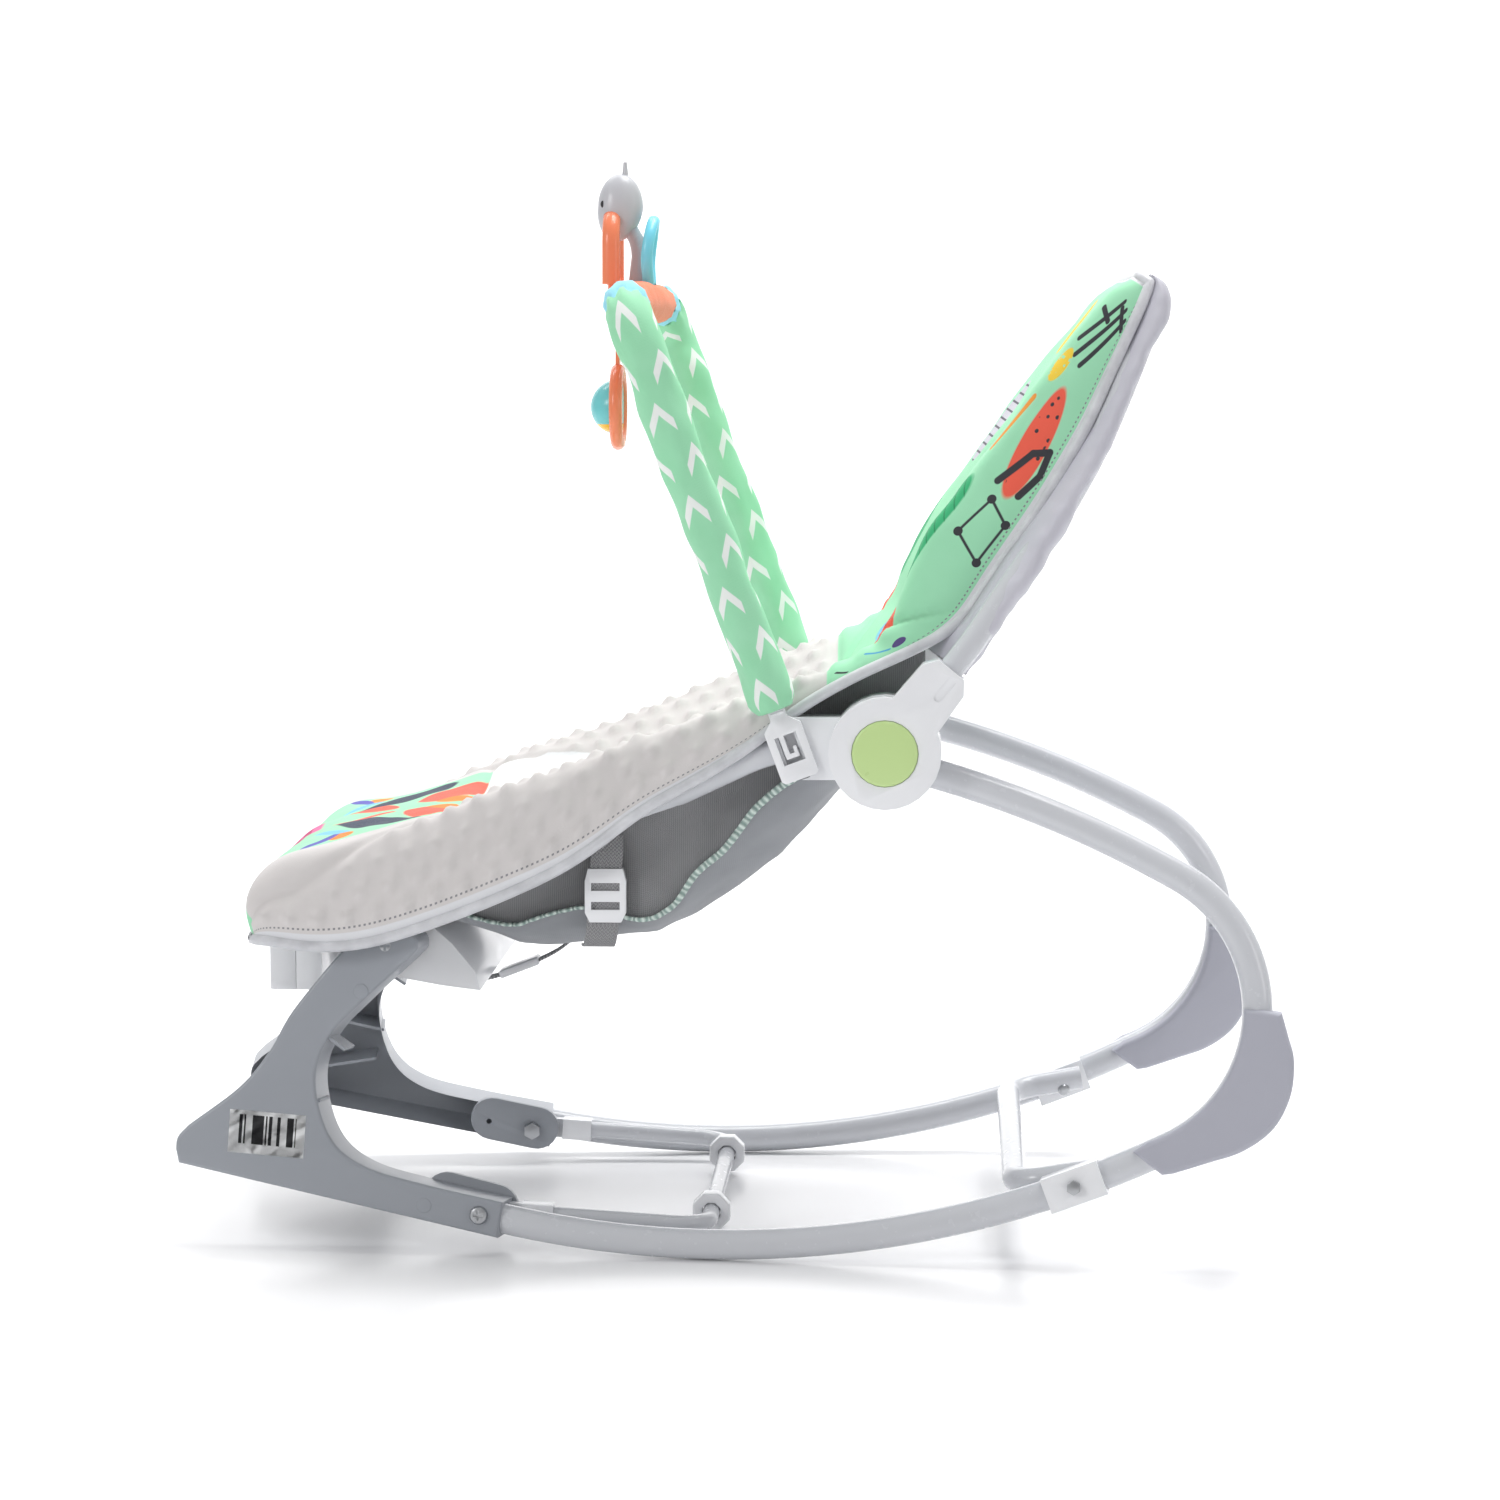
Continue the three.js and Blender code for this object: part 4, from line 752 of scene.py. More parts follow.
# Back: generic shapes down each side wall, a broad leaf and striped block nearer the middle.
def up(mm_from_seam):
    return back_seam_v + mm_from_seam * MM


def away(mm_from_hem):
    return PLUSH_HALF - mm_from_hem * MM


for cu, cv, ru, rv, turn in ((away(27), up(212), 0.011, 0.041, 0.1), (away(62), up(64), 0.013, 0.017, 0.2)):
    printed_on(blob(cu, cv, ru, rv, turn), CORAL)
    printed_on(blob(cu, cv, ru * 0.82, rv * 0.9, turn)
               * (plush.node("TexVoronoi", {"Vector": uv_point, "Scale": 150.0},
                             output="Distance") * -1.0 + 0.24)
               .above(0.0, 0.05), INK)
hook = [(16, 178), (11, 196), (14, 212), (24, 206), (34, 180)]
for (a0, b0), (a1, b1) in zip(hook, hook[1:]):
    printed_on(stroke(away(a0), up(b0), away(a1), up(b1), 0.0022), INK)
corners = [(30, 168), (12, 158), (14, 128), (36, 140)]
for (a0, b0), (a1, b1) in zip(corners, corners[1:] + corners[:1]):
    printed_on(stroke(away(a0), up(b0), away(a1), up(b1), 0.0006), INK)
    printed_on(blob(away(a0), up(b0), 0.0032, 0.0032), INK)
for a0, b0, a1, b1 in ((12, 306, 30, 268), (18, 312, 40, 272), (26, 316, 46, 282), (10, 300, 24, 312),
                       (30, 300, 44, 306)):
    printed_on(stroke(away(a0), up(b0), away(a1), up(b1), 0.0017), INK)
printed_on(blob(away(46), up(262), 0.007, 0.013)
           * plush.node("TexVoronoi", {"Vector": uv_point, "Scale": 260.0}, output="Distance").above(0.3,
                                                                                                     0.1),
           color("f4cf3f"))
printed_on(stroke(away(50), up(236), away(58), up(196), 0.0022), color("f09a3c"))
leaf = blob(away(66), up(130), 0.016, 0.048, -0.25)
printed_on(leaf, color("2fae73"))
printed_on(leaf * ((v * 620.0 + outward * 500.0).math("SINE")).above(0.86, 0.08), color("1f8a58"))
stripes = blob(away(96), up(210), 0.022, 0.034, 0.0, 0.02)
printed_on(stripes, color("c9c8d2"))
printed_on(stripes * ((v * 900.0).math("SINE")).above(0.72, 0.1), color("55525f"))
printed_on(blob(away(22), up(58), 0.005, 0.006, 0.6), color("5b4a86"))
printed_on(stroke(away(40), up(34), away(22), up(50), 0.0011), color("4da3d8"))
printed_on(stroke(away(20), up(16), away(32), up(8), 0.0011), INK)
for cu, cv, ru, rv, turn, ink in ((0.03, up(120), 0.03, 0.035, 0.4, color("2fae73")),
                                  (0.05, up(230), 0.03, 0.018, 0.5, CORAL),
                                  (0.1, up(290), 0.02, 0.028, 0.9, color("f4cf3f")),
                                  (0.0, up(300), 0.03, 0.02, 0.0, NAVY),
                                  (0.11, up(60), 0.018, 0.024, 0.3, color("7fc8e8"))):
    printed_on(blob(cu, cv, ru, rv, turn), ink)
# Satin binding along the hem, held by a row of grey stitches.
top_v = float(length_along[-1]) * MM
BINDING_AT, STITCH_AT = 0.2435, 0.2412  # from the middle of the cloth map, in metres
binding = outward.above(BINDING_AT, 0.0006).math("MAXIMUM", (v - top_v).above(-0.006, 0.001))
printed_on(binding, color("e4e5e9"))
stitch = 1.0 - (outward - STITCH_AT).math("ABSOLUTE").above(0.0004, 0.0003)
stitch = stitch * (v * 1900.0).math("SINE").above(0.0, 0.3)
printed_on(stitch, color("8f8e92"))
plush.set("Base Color", ground)

# Nap of the plush, fine weave of the cotton, and the smoother satin binding beside the piping.
nap = plush.noise(1500.0, 3.0, roughness=0.7)
weave = ((u * 9000.0).math("SINE") + (v * 9000.0).math("SINE")) * 0.25 + 0.5
cotton = printed.math("MAXIMUM", white_part)
plush.set("Roughness", 0.95 - cotton * 0.2 - binding * 0.45 - plush.noise(40.0) * 0.06)
plush.bump(nap * (1.0 - cotton) + weave * cotton * 0.35 + plush.noise(120.0, 3.0) * 0.6, 0.0006, 0.45)

cover_piece = finished("padded_cover", cover, plush, None, ["seat_pad", "back_pad"], angle=3.2)
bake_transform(cover_piece)

# Satin piping, sewn round the whole edge.
def edge_path(points):
    return np.concatenate([points[:, 0], points[-1, 1:], points[::-1, -1][1:], points[0, ::-1][1:]])


piping_satin = Finish("piping_satin", color("c9cace"), 0.32, Sheen_Weight=0.3)
satin = piping_satin.noise(300.0, 3.0)
piping_satin.set("Roughness", satin * 0.2 + 0.25)
piping_satin.set("Base Color", piping_satin.mix(piping_satin.noise(70.0, 3.0), color("b4b5ba"),
                                                color("e9eaee")))
piping_satin.bump(satin, 0.0005, 0.5)


def closed_tube(points, radius, sides):
    ring = [Vector(p) for p in points[:-1]] + [Vector(points[0])]
    rings = rings_along(ring, [radius] * len(ring), sides)
    rings[-1] = rings[0]
    return woven_grid(sides, len(ring) - 1, rings, joined=True)


piping = closed_tube(edge_path(face - normal * 1.0) + np.array([0, 0, -0.6]), 3.6, 12)
piping_piece = finished("satin_piping", piping, piping_satin, None, angle=3.2)
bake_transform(piping_piece)


# ---- Rear pocket of the back ---------------------------------------------------
# A lilac-grey polyester pocket sewn into the piping and pulled down over the back loop.
# Each row: hem x and z, outer x and z, half width.
POCKET_ROWS = [(122, 385, 150, 366, 162), (146, 399, 166, 390, 183), (166, 430, 190, 424, 181),
               (196, 474, 219, 474, 171), (222, 519, 244, 522, 161), (242, 565, 263, 566, 152),
               (257, 597, 277, 592, 147), (262, 609, 274, 609, 140), (263, 613, 264, 615, 132)]
POCKET_ACROSS, POCKET_ALONG = 96, 110


def pocket_surface():
    rows = np.array(POCKET_ROWS, float)
    steps = np.concatenate([[0], np.cumsum(np.linalg.norm(np.diff(rows[:, 2:4], axis=0), axis=1))])
    v = np.linspace(0, steps[-1], POCKET_ALONG + 1)
    hem_x, hem_z, out_x, out_z, half = (np.interp(v, steps, rows[:, k])[:, None] for k in range(5))
    s = np.linspace(-1, 1, POCKET_ACROSS + 1)[None, :]
    size = np.abs(s)
    out = np.interp(size, (0, 0.5, 0.74, 0.84, 0.92, 1.0), (0.72, 0.86, 1.0, 0.97, 0.6, 0.0))
    wide = np.interp(size, (0, 0.74, 0.84, 0.92, 1.0), (0, 0.86, 0.98, 1.01, 0.9))
    points = np.stack([hem_x + (out_x - hem_x) * out, half * wide * np.sign(s),
                       hem_z + (out_z - hem_z) * out], 2)
    return relaxed(relaxed(points, 10, 0), 3, 1), v


pocket_points, pocket_v = pocket_surface()
pocket_normal = normals_of(pocket_points)
pocket_fold = 2.7 * ripple(pocket_points, 38.0, 9.0)
pocket_fold = pocket_fold + 1.4 * ripple(pocket_points * np.array([1, 0.4, 1.6]), 16.0, 2.0)
columns = np.arange(POCKET_ACROSS + 1)
pocket_edge = ramp(np.minimum(columns, columns[::-1]), 0, 5)[None, :]
pocket_points = pocket_points + pocket_normal * (pocket_fold * pocket_edge)[..., None]
pocket_uv = np.stack(np.broadcast_arrays(np.linspace(-0.2, 0.2, POCKET_ACROSS + 1)[None, :],
                                         pocket_v[:, None] * MM), 2)

pocket_cloth = Finish("pocket_cloth", color("cbcad4"), 0.55, Sheen_Weight=0.35, Sheen_Roughness=0.35)
pu, pv = pocket_cloth.split(pocket_cloth.node("UVMap", uv_map="cloth"))[:2]
twill = ((pu + pv) * 7000.0).math("SINE") * 0.5 + 0.5
pocket_cloth.set("Base Color", pocket_cloth.mix(pocket_cloth.noise(30.0, 4.0), color("c3c2cd"),
                                                color("d6d5de")))
pocket_cloth.set("Roughness", pocket_cloth.noise(90.0) * 0.15 + 0.48)
pocket_cloth.bump(twill * 0.3 + pocket_cloth.noise(60.0, 4.0), 0.0008, 0.4)

pocket = woven_grid(POCKET_ACROSS, POCKET_ALONG, pocket_points, uv=pocket_uv)
bmesh.ops.solidify(pocket, geom=pocket.faces[:], thickness=0.9)
pocket_piece = finished("back_pocket", pocket, pocket_cloth, "backrest", angle=3.2)


# ---- Under-sling ---------------------------------------------------------------
# The hammock under the pad, hung from the seat loop: dark woven side panels and a grey
# floor panel, overlocked together with mint thread so that the seam stands up as a ridge.
SLING_SEAM = [(-186, 209), (-179, 213), (-156, 209), (-134, 207), (-114, 213), (-92, 220), (-58, 210),
              (-47, 212), (-33, 222), (-21, 240), (-4, 255), (15, 280), (35, 299), (60, 313), (90, 330),
              (122, 352)]
SLING_FLOOR = [(-186, 206), (-162, 198), (-136, 188), (-110, 188), (-72, 195), (-46, 198), (-20, 212),
               (5, 228), (31, 247), (53, 270), (70, 290), (90, 312), (122, 340)]
SLING_ACROSS, SLING_ALONG = 120, 100
SEAM_AT = 0.62
sling_x = np.linspace(-186, 122, SLING_ALONG + 1)
sling_s = np.linspace(-1, 1, SLING_ACROSS + 1)
sling_size = np.abs(sling_s)[None, :]
top_z = (along_line(HEM + [(118, 384), (130, 388)], sling_x) + 3)[:, None]
seam_z = np.pad(along_line(SLING_SEAM, sling_x), 1, mode="edge")
seam_z = np.convolve(seam_z, (0.25, 0.5, 0.25), "valid")[:, None]
floor_z = along_line(SLING_FLOOR, sling_x)[:, None]
floor_z = np.minimum(floor_z, seam_z - 0.5)
down_side = np.clip((1 - sling_size) / (1 - SEAM_AT), 0, 1)
on_floor = np.clip((SEAM_AT - sling_size) / SEAM_AT, 0, 1)
sling_points = np.zeros((SLING_ALONG + 1, SLING_ACROSS + 1, 3))
sling_points[..., 0] = sling_x[:, None]
sling_points[..., 2] = np.where(sling_size > SEAM_AT, top_z + (seam_z - top_z) * down_side,
                                seam_z + (floor_z - seam_z) * np.minimum(1, on_floor * 2.2) ** 0.8)
side_half = np.interp(sling_x, (-186, -150, -100, -77, -50, -32, -20, -8, 36, 80, 122),
                      (146, 148.6, 149.2, 150.3, 154.5, 157, 155, 149, 149, 147, 146))[:, None]
tuck = np.interp(sling_x, (-186, -120, -60, -32, -8, 36, 122), (14, 8, 6, 8, 2, 2, 1))[:, None]
sling_points[..., 1] = np.sign(sling_s)[None, :] * np.where(
    sling_size > SEAM_AT, side_half - tuck * down_side - 5 * np.sin(math.pi * down_side),
    (side_half - tuck) * (1 - on_floor ** 1.5))
sling_normal = normals_of(sling_points)
drape = (2.2 * ripple(sling_points * np.array([0.7, 1, 1.5]), 42.0, 3.0)
         + 1.0 * ripple(sling_points, 18.0, 6.0))
calm = ramp(np.abs(sling_size - SEAM_AT), 0, 0.08) * ramp(1 - sling_size, 0, 0.06)
sling_points = sling_points + sling_normal * (drape * calm)[..., None]
sling_uv = np.stack(np.broadcast_arrays(sling_s[None, :] * 0.24, sling_x[:, None] * MM), 2)

sling_cloth = Finish("sling_cloth", color("74777b"), 0.8, Sheen_Weight=0.15)
su, sv = sling_cloth.split(sling_cloth.node("UVMap", uv_map="cloth"))[:2]
side_panel = su.math("ABSOLUTE").above(SEAM_AT * 0.24, 0.0006)
ribs = (sv * 5200.0).math("SINE") * 0.5 + 0.5
picks = (su * 4200.0).math("SINE") * 0.5 + 0.5
shade = sling_cloth.noise(26.0, 4.0)
floor_color = sling_cloth.mix(shade, color("85888d"), color("a0a3a8"))
side_color = sling_cloth.mix(ribs * 0.4 + picks * 0.2, color("77787a"), color("a2a2a4"))
sling_cloth.set("Base Color", sling_cloth.mix(side_panel, floor_color, side_color))
sling_cloth.set("Roughness", 0.62 + side_panel * 0.24 + shade * 0.06)
sling_cloth.bump((ribs * 0.6 + picks * 0.4) * (side_panel * 0.7 + 0.3) + sling_cloth.noise(70.0, 3.0),
                 0.0006, 0.5)
sling = woven_grid(SLING_ACROSS, SLING_ALONG, sling_points, uv=sling_uv)
bmesh.ops.solidify(sling, geom=sling.faces[:], thickness=1.0)
sling_piece = finished("fabric_sling", sling, sling_cloth, "frame", ["under_sling"],
                       angle=3.2)

overlock = Finish("overlock_thread", color("b9cfc6"), 0.8)
along_thread = overlock.split(overlock.node("UVMap", uv_map="cloth"))[1]
loops_of_thread = (along_thread * 1700.0).math("SINE") * 0.5 + 0.5
overlock.set("Base Color", overlock.mix(loops_of_thread, color("8fa6a0"), color("dbe9e2")))
overlock.bump(loops_of_thread, 0.001, 0.8)
for hand, flip in SIDES:
    column = int(round((1 - (1 - SEAM_AT) / 2) * SLING_ACROSS))
    seam_line = sling_points[1:78, column] + np.array([0, 2.2, -0.6])
    length = np.concatenate([[0], np.cumsum(np.linalg.norm(np.diff(seam_line, axis=0), axis=1))])
    fine = np.linspace(0, length[-1], 260)
    seam_line = np.stack([np.interp(fine, length, seam_line[:, k]) for k in range(3)], 1)
    seam_line[:, 1] += 0.9 * np.sin(fine / 1.6)
    seam_line[:, 2] += 0.8 * np.sin(fine / 9.0)
    ridge_uv = np.stack(np.broadcast_arrays(np.linspace(0, 0.01, 9)[None, :], fine[:, None] * MM), 2)
    ridge = woven_grid(8, len(fine) - 1, rings_along(seam_line, [2.3] * len(fine), 8, 0.55), joined=True,
                       uv=ridge_uv)
    bmesh.ops.holes_fill(ridge, edges=[e for e in ridge.edges if e.is_boundary], sides=8)
    finished(f"{hand}_overlock_seam", ridge, overlock, "frame", matrix=flip, angle=3.2)


# ---- Straps --------------------------------------------------------------------
# Twenty millimetre webbing: one strap a side through a buckle, and one under the sling
# that hooks to the front cross member.
def webbing_line(points):
    """A smooth line along the middle of a strap, and the distance along it at each point."""
    line = flowing(points, 10)
    steps = [(b - a).length for a, b in zip(line, line[1:])]
    return line, np.concatenate([[0.0], np.cumsum(steps)])


def webbing_piece(name, points, across, width, thickness, material):
    line, lengths = webbing_line(points)
    across = Vector(across).normalized()
    cells = 6
    grid = np.array([[p + across * (k / cells - 0.5) * width for k in range(cells + 1)] for p in line])
    uv = np.array([[((k / cells) * width * MM, d * MM) for k in range(cells + 1)] for d in lengths])
    bm = woven_grid(cells, len(line) - 1, grid, uv=uv)
    bmesh.ops.solidify(bm, geom=bm.faces[:], thickness=thickness)
    return finished(name, bm, material, "frame", angle=0.9)


webbing = Finish("herringbone_webbing", color("939393"), 0.8, Sheen_Weight=0.1)
wu, wv = webbing.split(webbing.node("UVMap", uv_map="cloth"))[:2]
chevron = ((wu * 400.0).math("FRACT") - 0.5).math("ABSOLUTE") * 2.0
herring = (((wv * 420.0) + chevron * 0.9).math("FRACT") - 0.5).math("ABSOLUTE") * 2.0
webbing.set("Base Color", webbing.mix(herring, color("77777a"), color("b6b6b8")))
webbing.set("Roughness", 0.7 + herring * 0.15)
webbing.bump(herring, 0.0008, 0.7)
for hand, sign in (("left", 1), ("right", -1)):
    upper = webbing_piece(
        f"{hand}_strap_upper",
        [(-76, sign * 151.6, 264), (-76, sign * 152.6, 252), (-77, sign * 152.6, 238),
         (-77, sign * 151.0, 214)],
        (1, 0, 0), 20, 1.6, webbing)
    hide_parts(f"{hand}_side_strap")
    webbing_piece(
        f"{hand}_strap_lower",
        [(-78, sign * 150.2, 218), (-79, sign * 151.5, 208), (-80, sign * 150, 200), (-82, sign * 143, 194),
         (-84, sign * 133, 193)], (1, 0, 0), 20, 1.6, webbing)
webbing_piece(
    "under_strap",
    [(-181, 0, 160), (-172, 0, 152), (-158, 0, 154), (-140, 0, 161), (-120, 0, 171), (-104, 0, 184)],
    (0, 1, 0), 15, 1.6, webbing)
slider = block((-14, -10, -2.6), (14, 10, 2.6), 1.4)
finished("strap_slider", slider, white_gloss, "frame",
         matrix=Matrix.Translation((-146, 0, 158.5)) @ Matrix.Rotation(math.radians(-21), 4, "Y"))


# ---- Toy bar sleeve --------------------------------------------------------------
# A gathered cotton tube over each arm of the toy bar, printed with white chevrons, and a
# plain coral sleeve with light blue ends across the top.
ARCH_TILT = math.radians(20.4)
CLIP_X, CLIP_Z, ARCH_Y = 47.087, 303.0, 183.52
arm_way = Vector((-math.sin(ARCH_TILT), 0, math.cos(ARCH_TILT)))
ARCH_HEIGHT = (352 + 258 - CLIP_Z) / math.cos(ARCH_TILT) - 13
foot_point = Vector((CLIP_X, ARCH_Y, CLIP_Z))
top_point = foot_point + arm_way * ARCH_HEIGHT
BARE_FOOT, ARCH_CORNER = 46, 34  # what the clip leaves bare of each arm, and the bend at its top
arch_all = round_corners(both_ways([(*(foot_point + arm_way * BARE_FOOT), 0), (*top_point, ARCH_CORNER)]))
arch_steps = np.concatenate([[0], np.cumsum([(b - a).length for a, b in zip(arch_all, arch_all[1:])])])


def arch_points(start, end, count):
    distance = np.linspace(start, end, count)
    table = np.array([tuple(p) for p in arch_all])
    return [Vector([np.interp(d, arch_steps, table[:, k]) for k in range(3)]) for d in distance], distance


ARM_RUN = ARCH_HEIGHT - BARE_FOOT - ARCH_CORNER + 38


def gathered_sleeve(name, start, end, radius, material, wrinkle, body="toy_bar", ends=(0.75, 0.7), swell=0.0):
    rows, sides = max(24, int(abs(end - start) / 3)), 36
    points, distance = arch_points(start, end, rows)
    radii = []
    for p, d in zip(points, distance):
        share = (d - distance[0]) / (distance[-1] - distance[0])
        close = min(ends[0] + (1 - ends[0]) * ramp(share * abs(end - start), 0, 9),
                    ends[1] + (1 - ends[1]) * ramp((1 - share) * abs(end - start), 0, 9))
        ring = []
        for k in range(sides):
            a = 2 * math.pi * k / sides
            fold = turbulence.noise(Vector((math.cos(a) * 1.1, math.sin(a) * 1.1 + start, d / 26.0)))
            pucker = math.sin(a * 9) * max(0, 1 - share * abs(end - start) / 12) + math.sin(a * 8 + 1) * max(
                0, 1 - (1 - share) * abs(end - start) / 14)
            ring.append((radius + swell * math.sin(math.pi * share) + wrinkle * fold + 1.3 * pucker) * close)
        radii.append(ring)
    uv = np.stack(np.broadcast_arrays(np.linspace(0, 2 * math.pi * radius * MM, sides + 1)[None, :],
                                      np.abs(distance - distance[0])[:, None] * MM), 2)
    bm = woven_grid(sides, rows - 1, rings_along(points, radii, sides), joined=True, uv=uv)
    bmesh.ops.solidify(bm, geom=bm.faces[:], thickness=0.9)
    sleeve_piece = finished(name, bm, material, body, angle=3.2)
    abs(end - start) * MM * 1.04
    return sleeve_piece


CHEVRON_HIGH, CHEVRON_WIDE = 0.030, 0.0281  # the repeat of the print, in metres


def sleeve_cloth(name, low, high, printed_marks):
    cloth = Finish(name, low, 0.75, Sheen_Weight=0.12)
    cu, cv = cloth.split(cloth.node("UVMap", uv_map="cloth"))[:2]
    base = cloth.mix(cloth.noise(40.0, 3.0), low, high)
    if printed_marks:
        row = (cv / CHEVRON_HIGH).math("FLOOR")
        y = (cv / CHEVRON_HIGH).math("FRACT") - 0.5
        x = (cu / CHEVRON_WIDE + (row * 0.5).math("FRACT")).math("FRACT") - 0.5
        arms = 1.0 - (y - 0.2 + x.math("ABSOLUTE") * 1.5).math("ABSOLUTE").above(0.12, 0.03)
        mark = arms * (1.0 - x.math("ABSOLUTE").above(0.27, 0.02))
        base = cloth.mix(mark, base, color("f3f8f4"))
    cloth.set("Base Color", base)
    cloth.set("Roughness", cloth.noise(80.0) * 0.12 + 0.7)
    cloth.bump(((cu * 9000.0).math("SINE") + (cv * 9000.0).math("SINE")) * 0.12 + cloth.noise(90.0, 4.0),
               0.0006, 0.4)
    return cloth


chevron_cotton = sleeve_cloth("chevron_cotton", color("93deae"), color("a9e8c1"), True)
coral_cotton = sleeve_cloth("coral_cotton", color("f1794f"), color("f58c66"), False)
blue_cotton = sleeve_cloth("blue_cotton", color("8fdcf2"), color("a9e7f7"), False)
total = arch_steps[-1]
near_arm = gathered_sleeve("left_arm_sleeve", -1.5, ARM_RUN, 14.4, chevron_cotton, 2.6, ends=(0.72, 0.9))
gathered_sleeve("right_arm_sleeve", total + 1.5, total - ARM_RUN, 14.4, chevron_cotton, 2.6, ends=(0.72, 0.9))
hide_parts("toy_bar_sleeve")
for hand, start, end in (("left", ARM_RUN - 5, ARM_RUN + 16),
                         ("right", total - ARM_RUN - 16, total - ARM_RUN + 5)):
    gathered_sleeve(f"{hand}_blue_cuff", start, end, 14.0, blue_cotton, 1.2, ends=(0.85, 0.85))
gathered_sleeve("top_sleeve", ARM_RUN + 13, total - ARM_RUN - 13, 12.2, coral_cotton, 1.6, ends=(0.9, 0.9),
                swell=1.0)


# ---- Toys ------------------------------------------------------------------------
# A grey head on a curved neck, an orange hoop and a blue leaf loop stand on the bar; a
# ring with a turning half ball hangs in front of it. All are glossy mouldings.
def toy_finish(name, code, rough=0.25):
    made = Finish(name, color(code), rough)
    made.set("Roughness", made.noise(60.0, 2.0) * 0.1 + rough - 0.05)
    made.bump(made.noise(1200.0), 0.00004, 0.3)
    return made


toy_orange, toy_blue = toy_finish("toy_orange", "f58a63"), toy_finish("toy_blue", "7fdcf2")
toy_cyan, toy_grey = toy_finish("toy_cyan", "74cfd3"), toy_finish("toy_grey", "c5c6cb", 0.3)
BAR_TOP = Vector((-62.554, 0, 597.815))
LOOP_X, LOOP_Z = BAR_TOP.x - 20, BAR_TOP.z + 38
hoop = [Vector((LOOP_X, 19.5, BAR_TOP.z + 12))] + [
    Vector((LOOP_X, 19.5 * math.cos(a), LOOP_Z + 19.5 * math.sin(a)))
    for a in np.linspace(0, math.pi, 25)] + [Vector((LOOP_X, -19.5, BAR_TOP.z + 12))]
hoop_bm = merged(tube(hoop, 4.6, 16, 1.25),
                 block((LOOP_X - 4, -21, BAR_TOP.z + 12), (LOOP_X + 4, 21, BAR_TOP.z + 17), 1.4),
                 block((LOOP_X - 3, -8, BAR_TOP.z + 7), (LOOP_X + 17, 8, BAR_TOP.z + 14), 1.4))
finished("orange_hoop", hoop_bm, toy_orange, "toy_bar", ["toy_arch"])

head = bmesh.new()
bmesh.ops.create_uvsphere(head, u_segments=32, v_segments=20, radius=1)
for vert in head.verts:
    x, y, z = vert.co
    vert.co = (x * 15 - 2.5 * max(0, -z) + BAR_TOP.x - 15, y * 12, z * 22 + BAR_TOP.z + 62)
neck = round_corners([(BAR_TOP.x - 3, 0, BAR_TOP.z + 12, 0), (BAR_TOP.x - 1, 0, BAR_TOP.z + 34, 30),
                      (BAR_TOP.x - 14, 0, BAR_TOP.z + 58, 0)])
crest_line = [(BAR_TOP.x - 13, 0, BAR_TOP.z + 66), (BAR_TOP.x - 12, 0, BAR_TOP.z + 78),
              (BAR_TOP.x - 12, 0, BAR_TOP.z + 91.5)]
crest_path = flowing(crest_line, 6)
finished("toy_bird_head",
         merged(head, tube(neck, np.linspace(7, 4.8, len(neck)), 16),
                tube(crest_path, np.linspace(4.2, 1.2, len(crest_path)), 12)),
         toy_grey, "toy_bar", ["toy_head"])
for hand, sign in (("left", 1), ("right", -1)):
    eye = bmesh.new()
    bmesh.ops.create_uvsphere(eye, u_segments=12, v_segments=8, radius=1.6)
    bmesh.ops.scale(eye, vec=(1, 0.5, 1.5), verts=eye.verts)
    finished(f"{hand}_eye_dot", eye, black_plastic, "toy_bar",
             matrix=Matrix.Translation((BAR_TOP.x - 26, sign * 7.6, BAR_TOP.z + 64)))

leaf_line = flowing([(BAR_TOP.x + 4, 8, BAR_TOP.z + 12), (BAR_TOP.x + 3, 15, BAR_TOP.z + 28),
                     (BAR_TOP.x + 5, 13, BAR_TOP.z + 44), (BAR_TOP.x + 7, 0, BAR_TOP.z + 54),
                     (BAR_TOP.x + 5, -13, BAR_TOP.z + 44),
                     (BAR_TOP.x + 3, -15, BAR_TOP.z + 28), (BAR_TOP.x + 4, -8, BAR_TOP.z + 12)], 8)
finished("blue_leaf_loop", tube(leaf_line, 3.0, 14, 1.3), toy_blue, "toy_bar", ["toy_leaf"])

RING = Vector((BAR_TOP.x - 17, 0, BAR_TOP.z - 68))
BAND_LOW, BAND_HIGH = 0.5135, 0.5185  # heights of the ball's yellow band, in metres
ring_line = np.array([(RING.x, 24 * math.cos(a), RING.z + 24 * math.sin(a))
                      for a in np.linspace(0, 2 * math.pi, 49)])
hanger = merged(closed_tube(ring_line, 4.4, 16),
                block((RING.x - 1.3, -6, RING.z + 27), (RING.x + 1.3, 6, BAR_TOP.z - 15), 0.5))
finished("hanging_hoop", hanger, toy_orange, "hanging_toy", ["hanging_ring"])

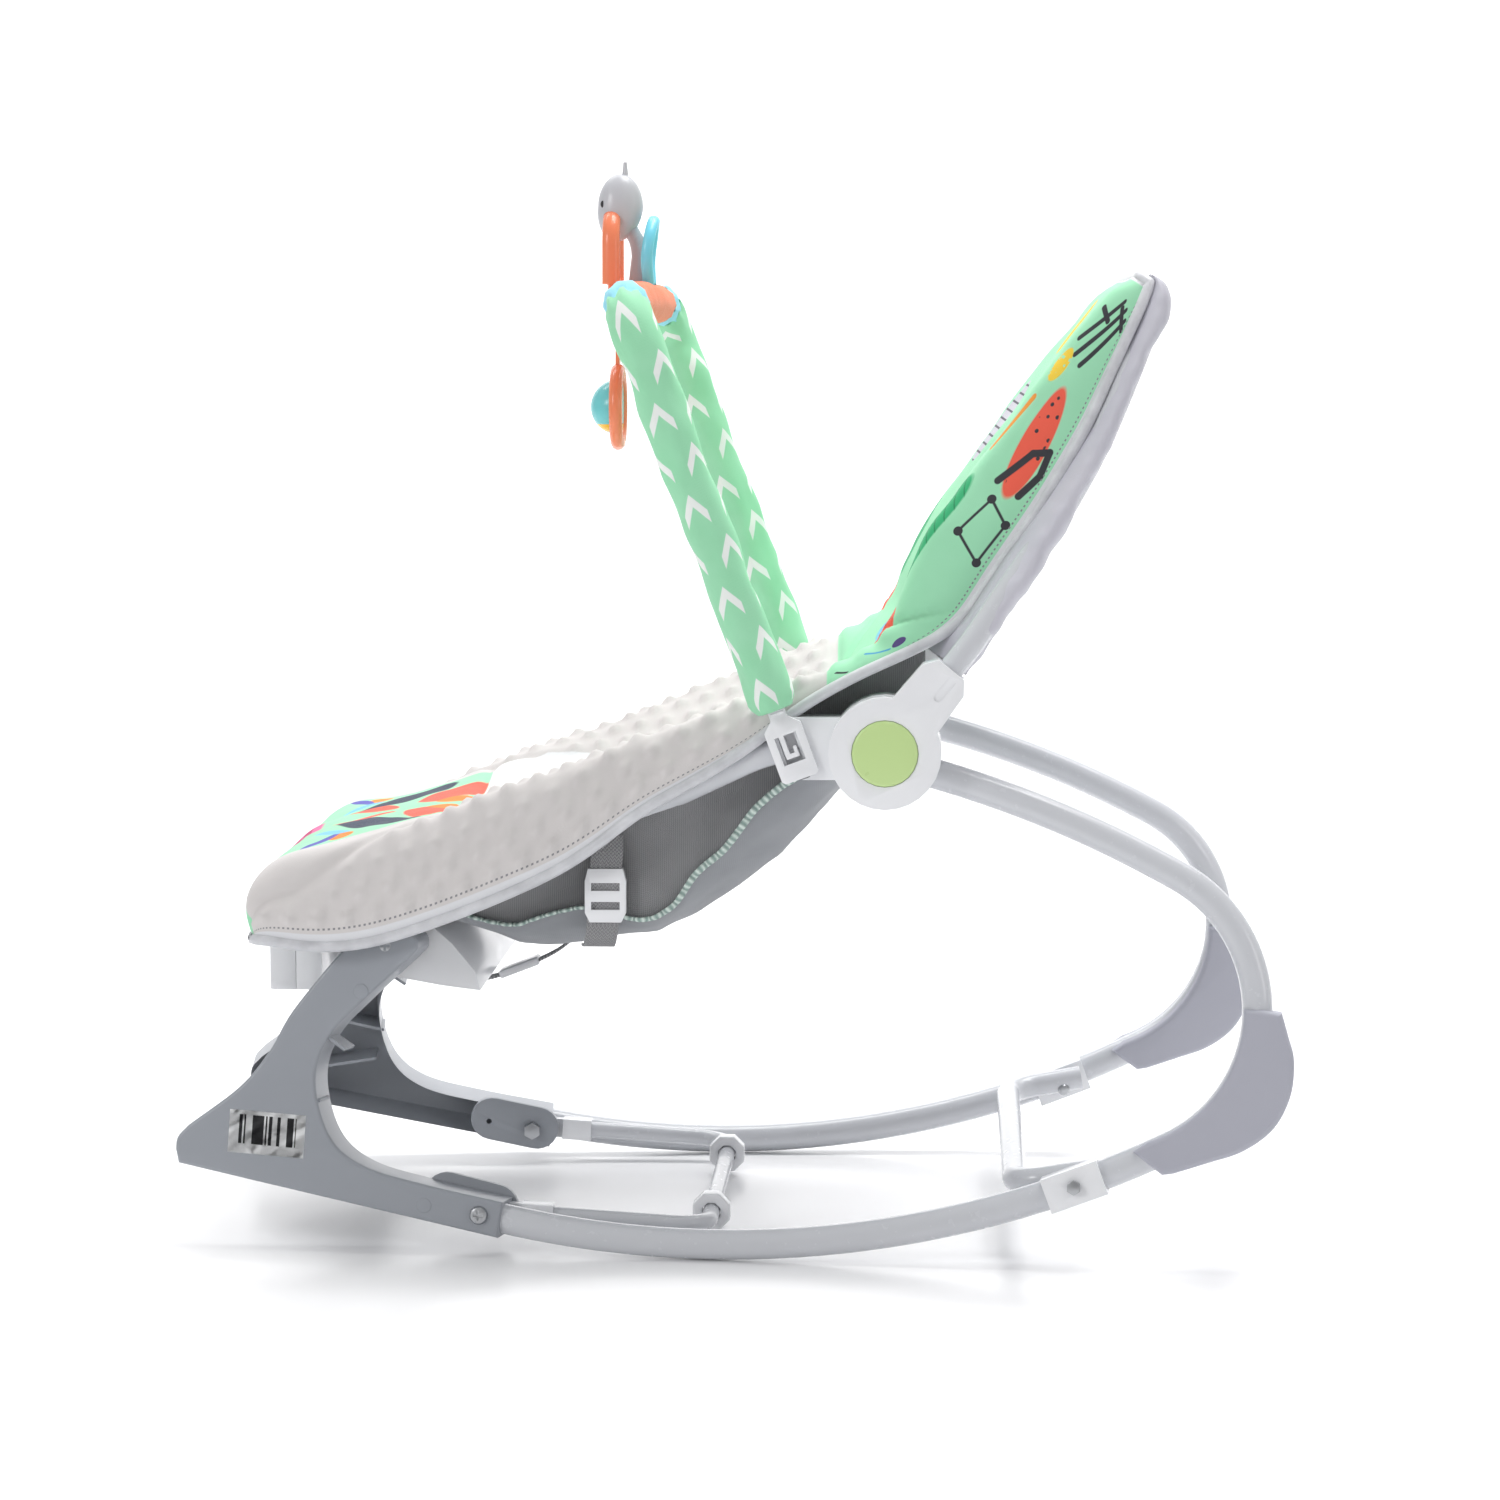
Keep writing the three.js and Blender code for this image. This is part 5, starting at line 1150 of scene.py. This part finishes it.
ball = bmesh.new()
bmesh.ops.create_uvsphere(ball, u_segments=40, v_segments=24, radius=18)
bmesh.ops.translate(ball, vec=RING, verts=ball.verts)
bmesh.ops.bisect_plane(ball, geom=ball.verts[:] + ball.edges[:] + ball.faces[:],
                       plane_co=(RING.x + 2.5, 0, 0), plane_no=(1, 0, 0), clear_outer=True)
bmesh.ops.holes_fill(ball, edges=[e for e in ball.edges if e.is_boundary], sides=0)
for pin_side in (-1, 1):
    ball = merged(ball, rod(1.5, min(pin_side * 17, pin_side * 21.4), max(pin_side * 17, pin_side * 21.4),
                            RING.x, RING.z, 12))
ball_height = toy_cyan.split(toy_cyan.place())[2]
yellow_band = (1.0 - ball_height.above(BAND_HIGH, 0.0004)) * ball_height.above(BAND_LOW, 0.0004)
toy_cyan.set("Base Color", toy_cyan.mix(yellow_band, color("74cfd3"), color("f7c536")))
finished("spinning_half_ball", ball, toy_cyan, "spinner", ["spinner_dome"])


# ---- Sticker ---------------------------------------------------------------------
# A blank stock sticker with plain bars, stuck on the toe of one moulded leg.
sticker_paper = Finish("sticker_paper", color("f4f5f6"), 0.4)
lu, lv = sticker_paper.split(sticker_paper.node("UVMap", uv_map="cloth"))[:2]
bars = ((lu * 46.0).math("FLOOR") * 12.9898).math("SINE") * 43.7585
bars = bars.math("FRACT").above(0.5, 0.02)
bars = bars * lu.above(0.12, 0.004) * (1.0 - lu.above(0.88, 0.004))
bars = bars * lv.above(0.22, 0.01) * (1.0 - lv.above(0.9, 0.01))
sticker_paper.set("Base Color", sticker_paper.mix(bars, color("f4f5f6"), color("26272b")))
sticker_paper.set("Roughness", sticker_paper.noise(60.0) * 0.1 + 0.35)
sticker_points = np.array([
    [(-317 + 49 * i / 12 + 1.6 * j / 6, LEG_OUTER + 0.15, 62 - 3.2 * i / 12 + 27 * j / 6) for i in range(13)]
    for j in range(7)])
sticker_uv = np.array([[(i / 12, j / 6) for i in range(13)] for j in range(7)])
sticker = woven_grid(12, 6, sticker_points, uv=sticker_uv)
bmesh.ops.solidify(sticker, geom=sticker.faces[:], thickness=0.12)
finished("bar_sticker", sticker, sticker_paper, "frame",
         matrix=dict(SIDES)["right"] @ SIDE_FRAME, angle=0.6)
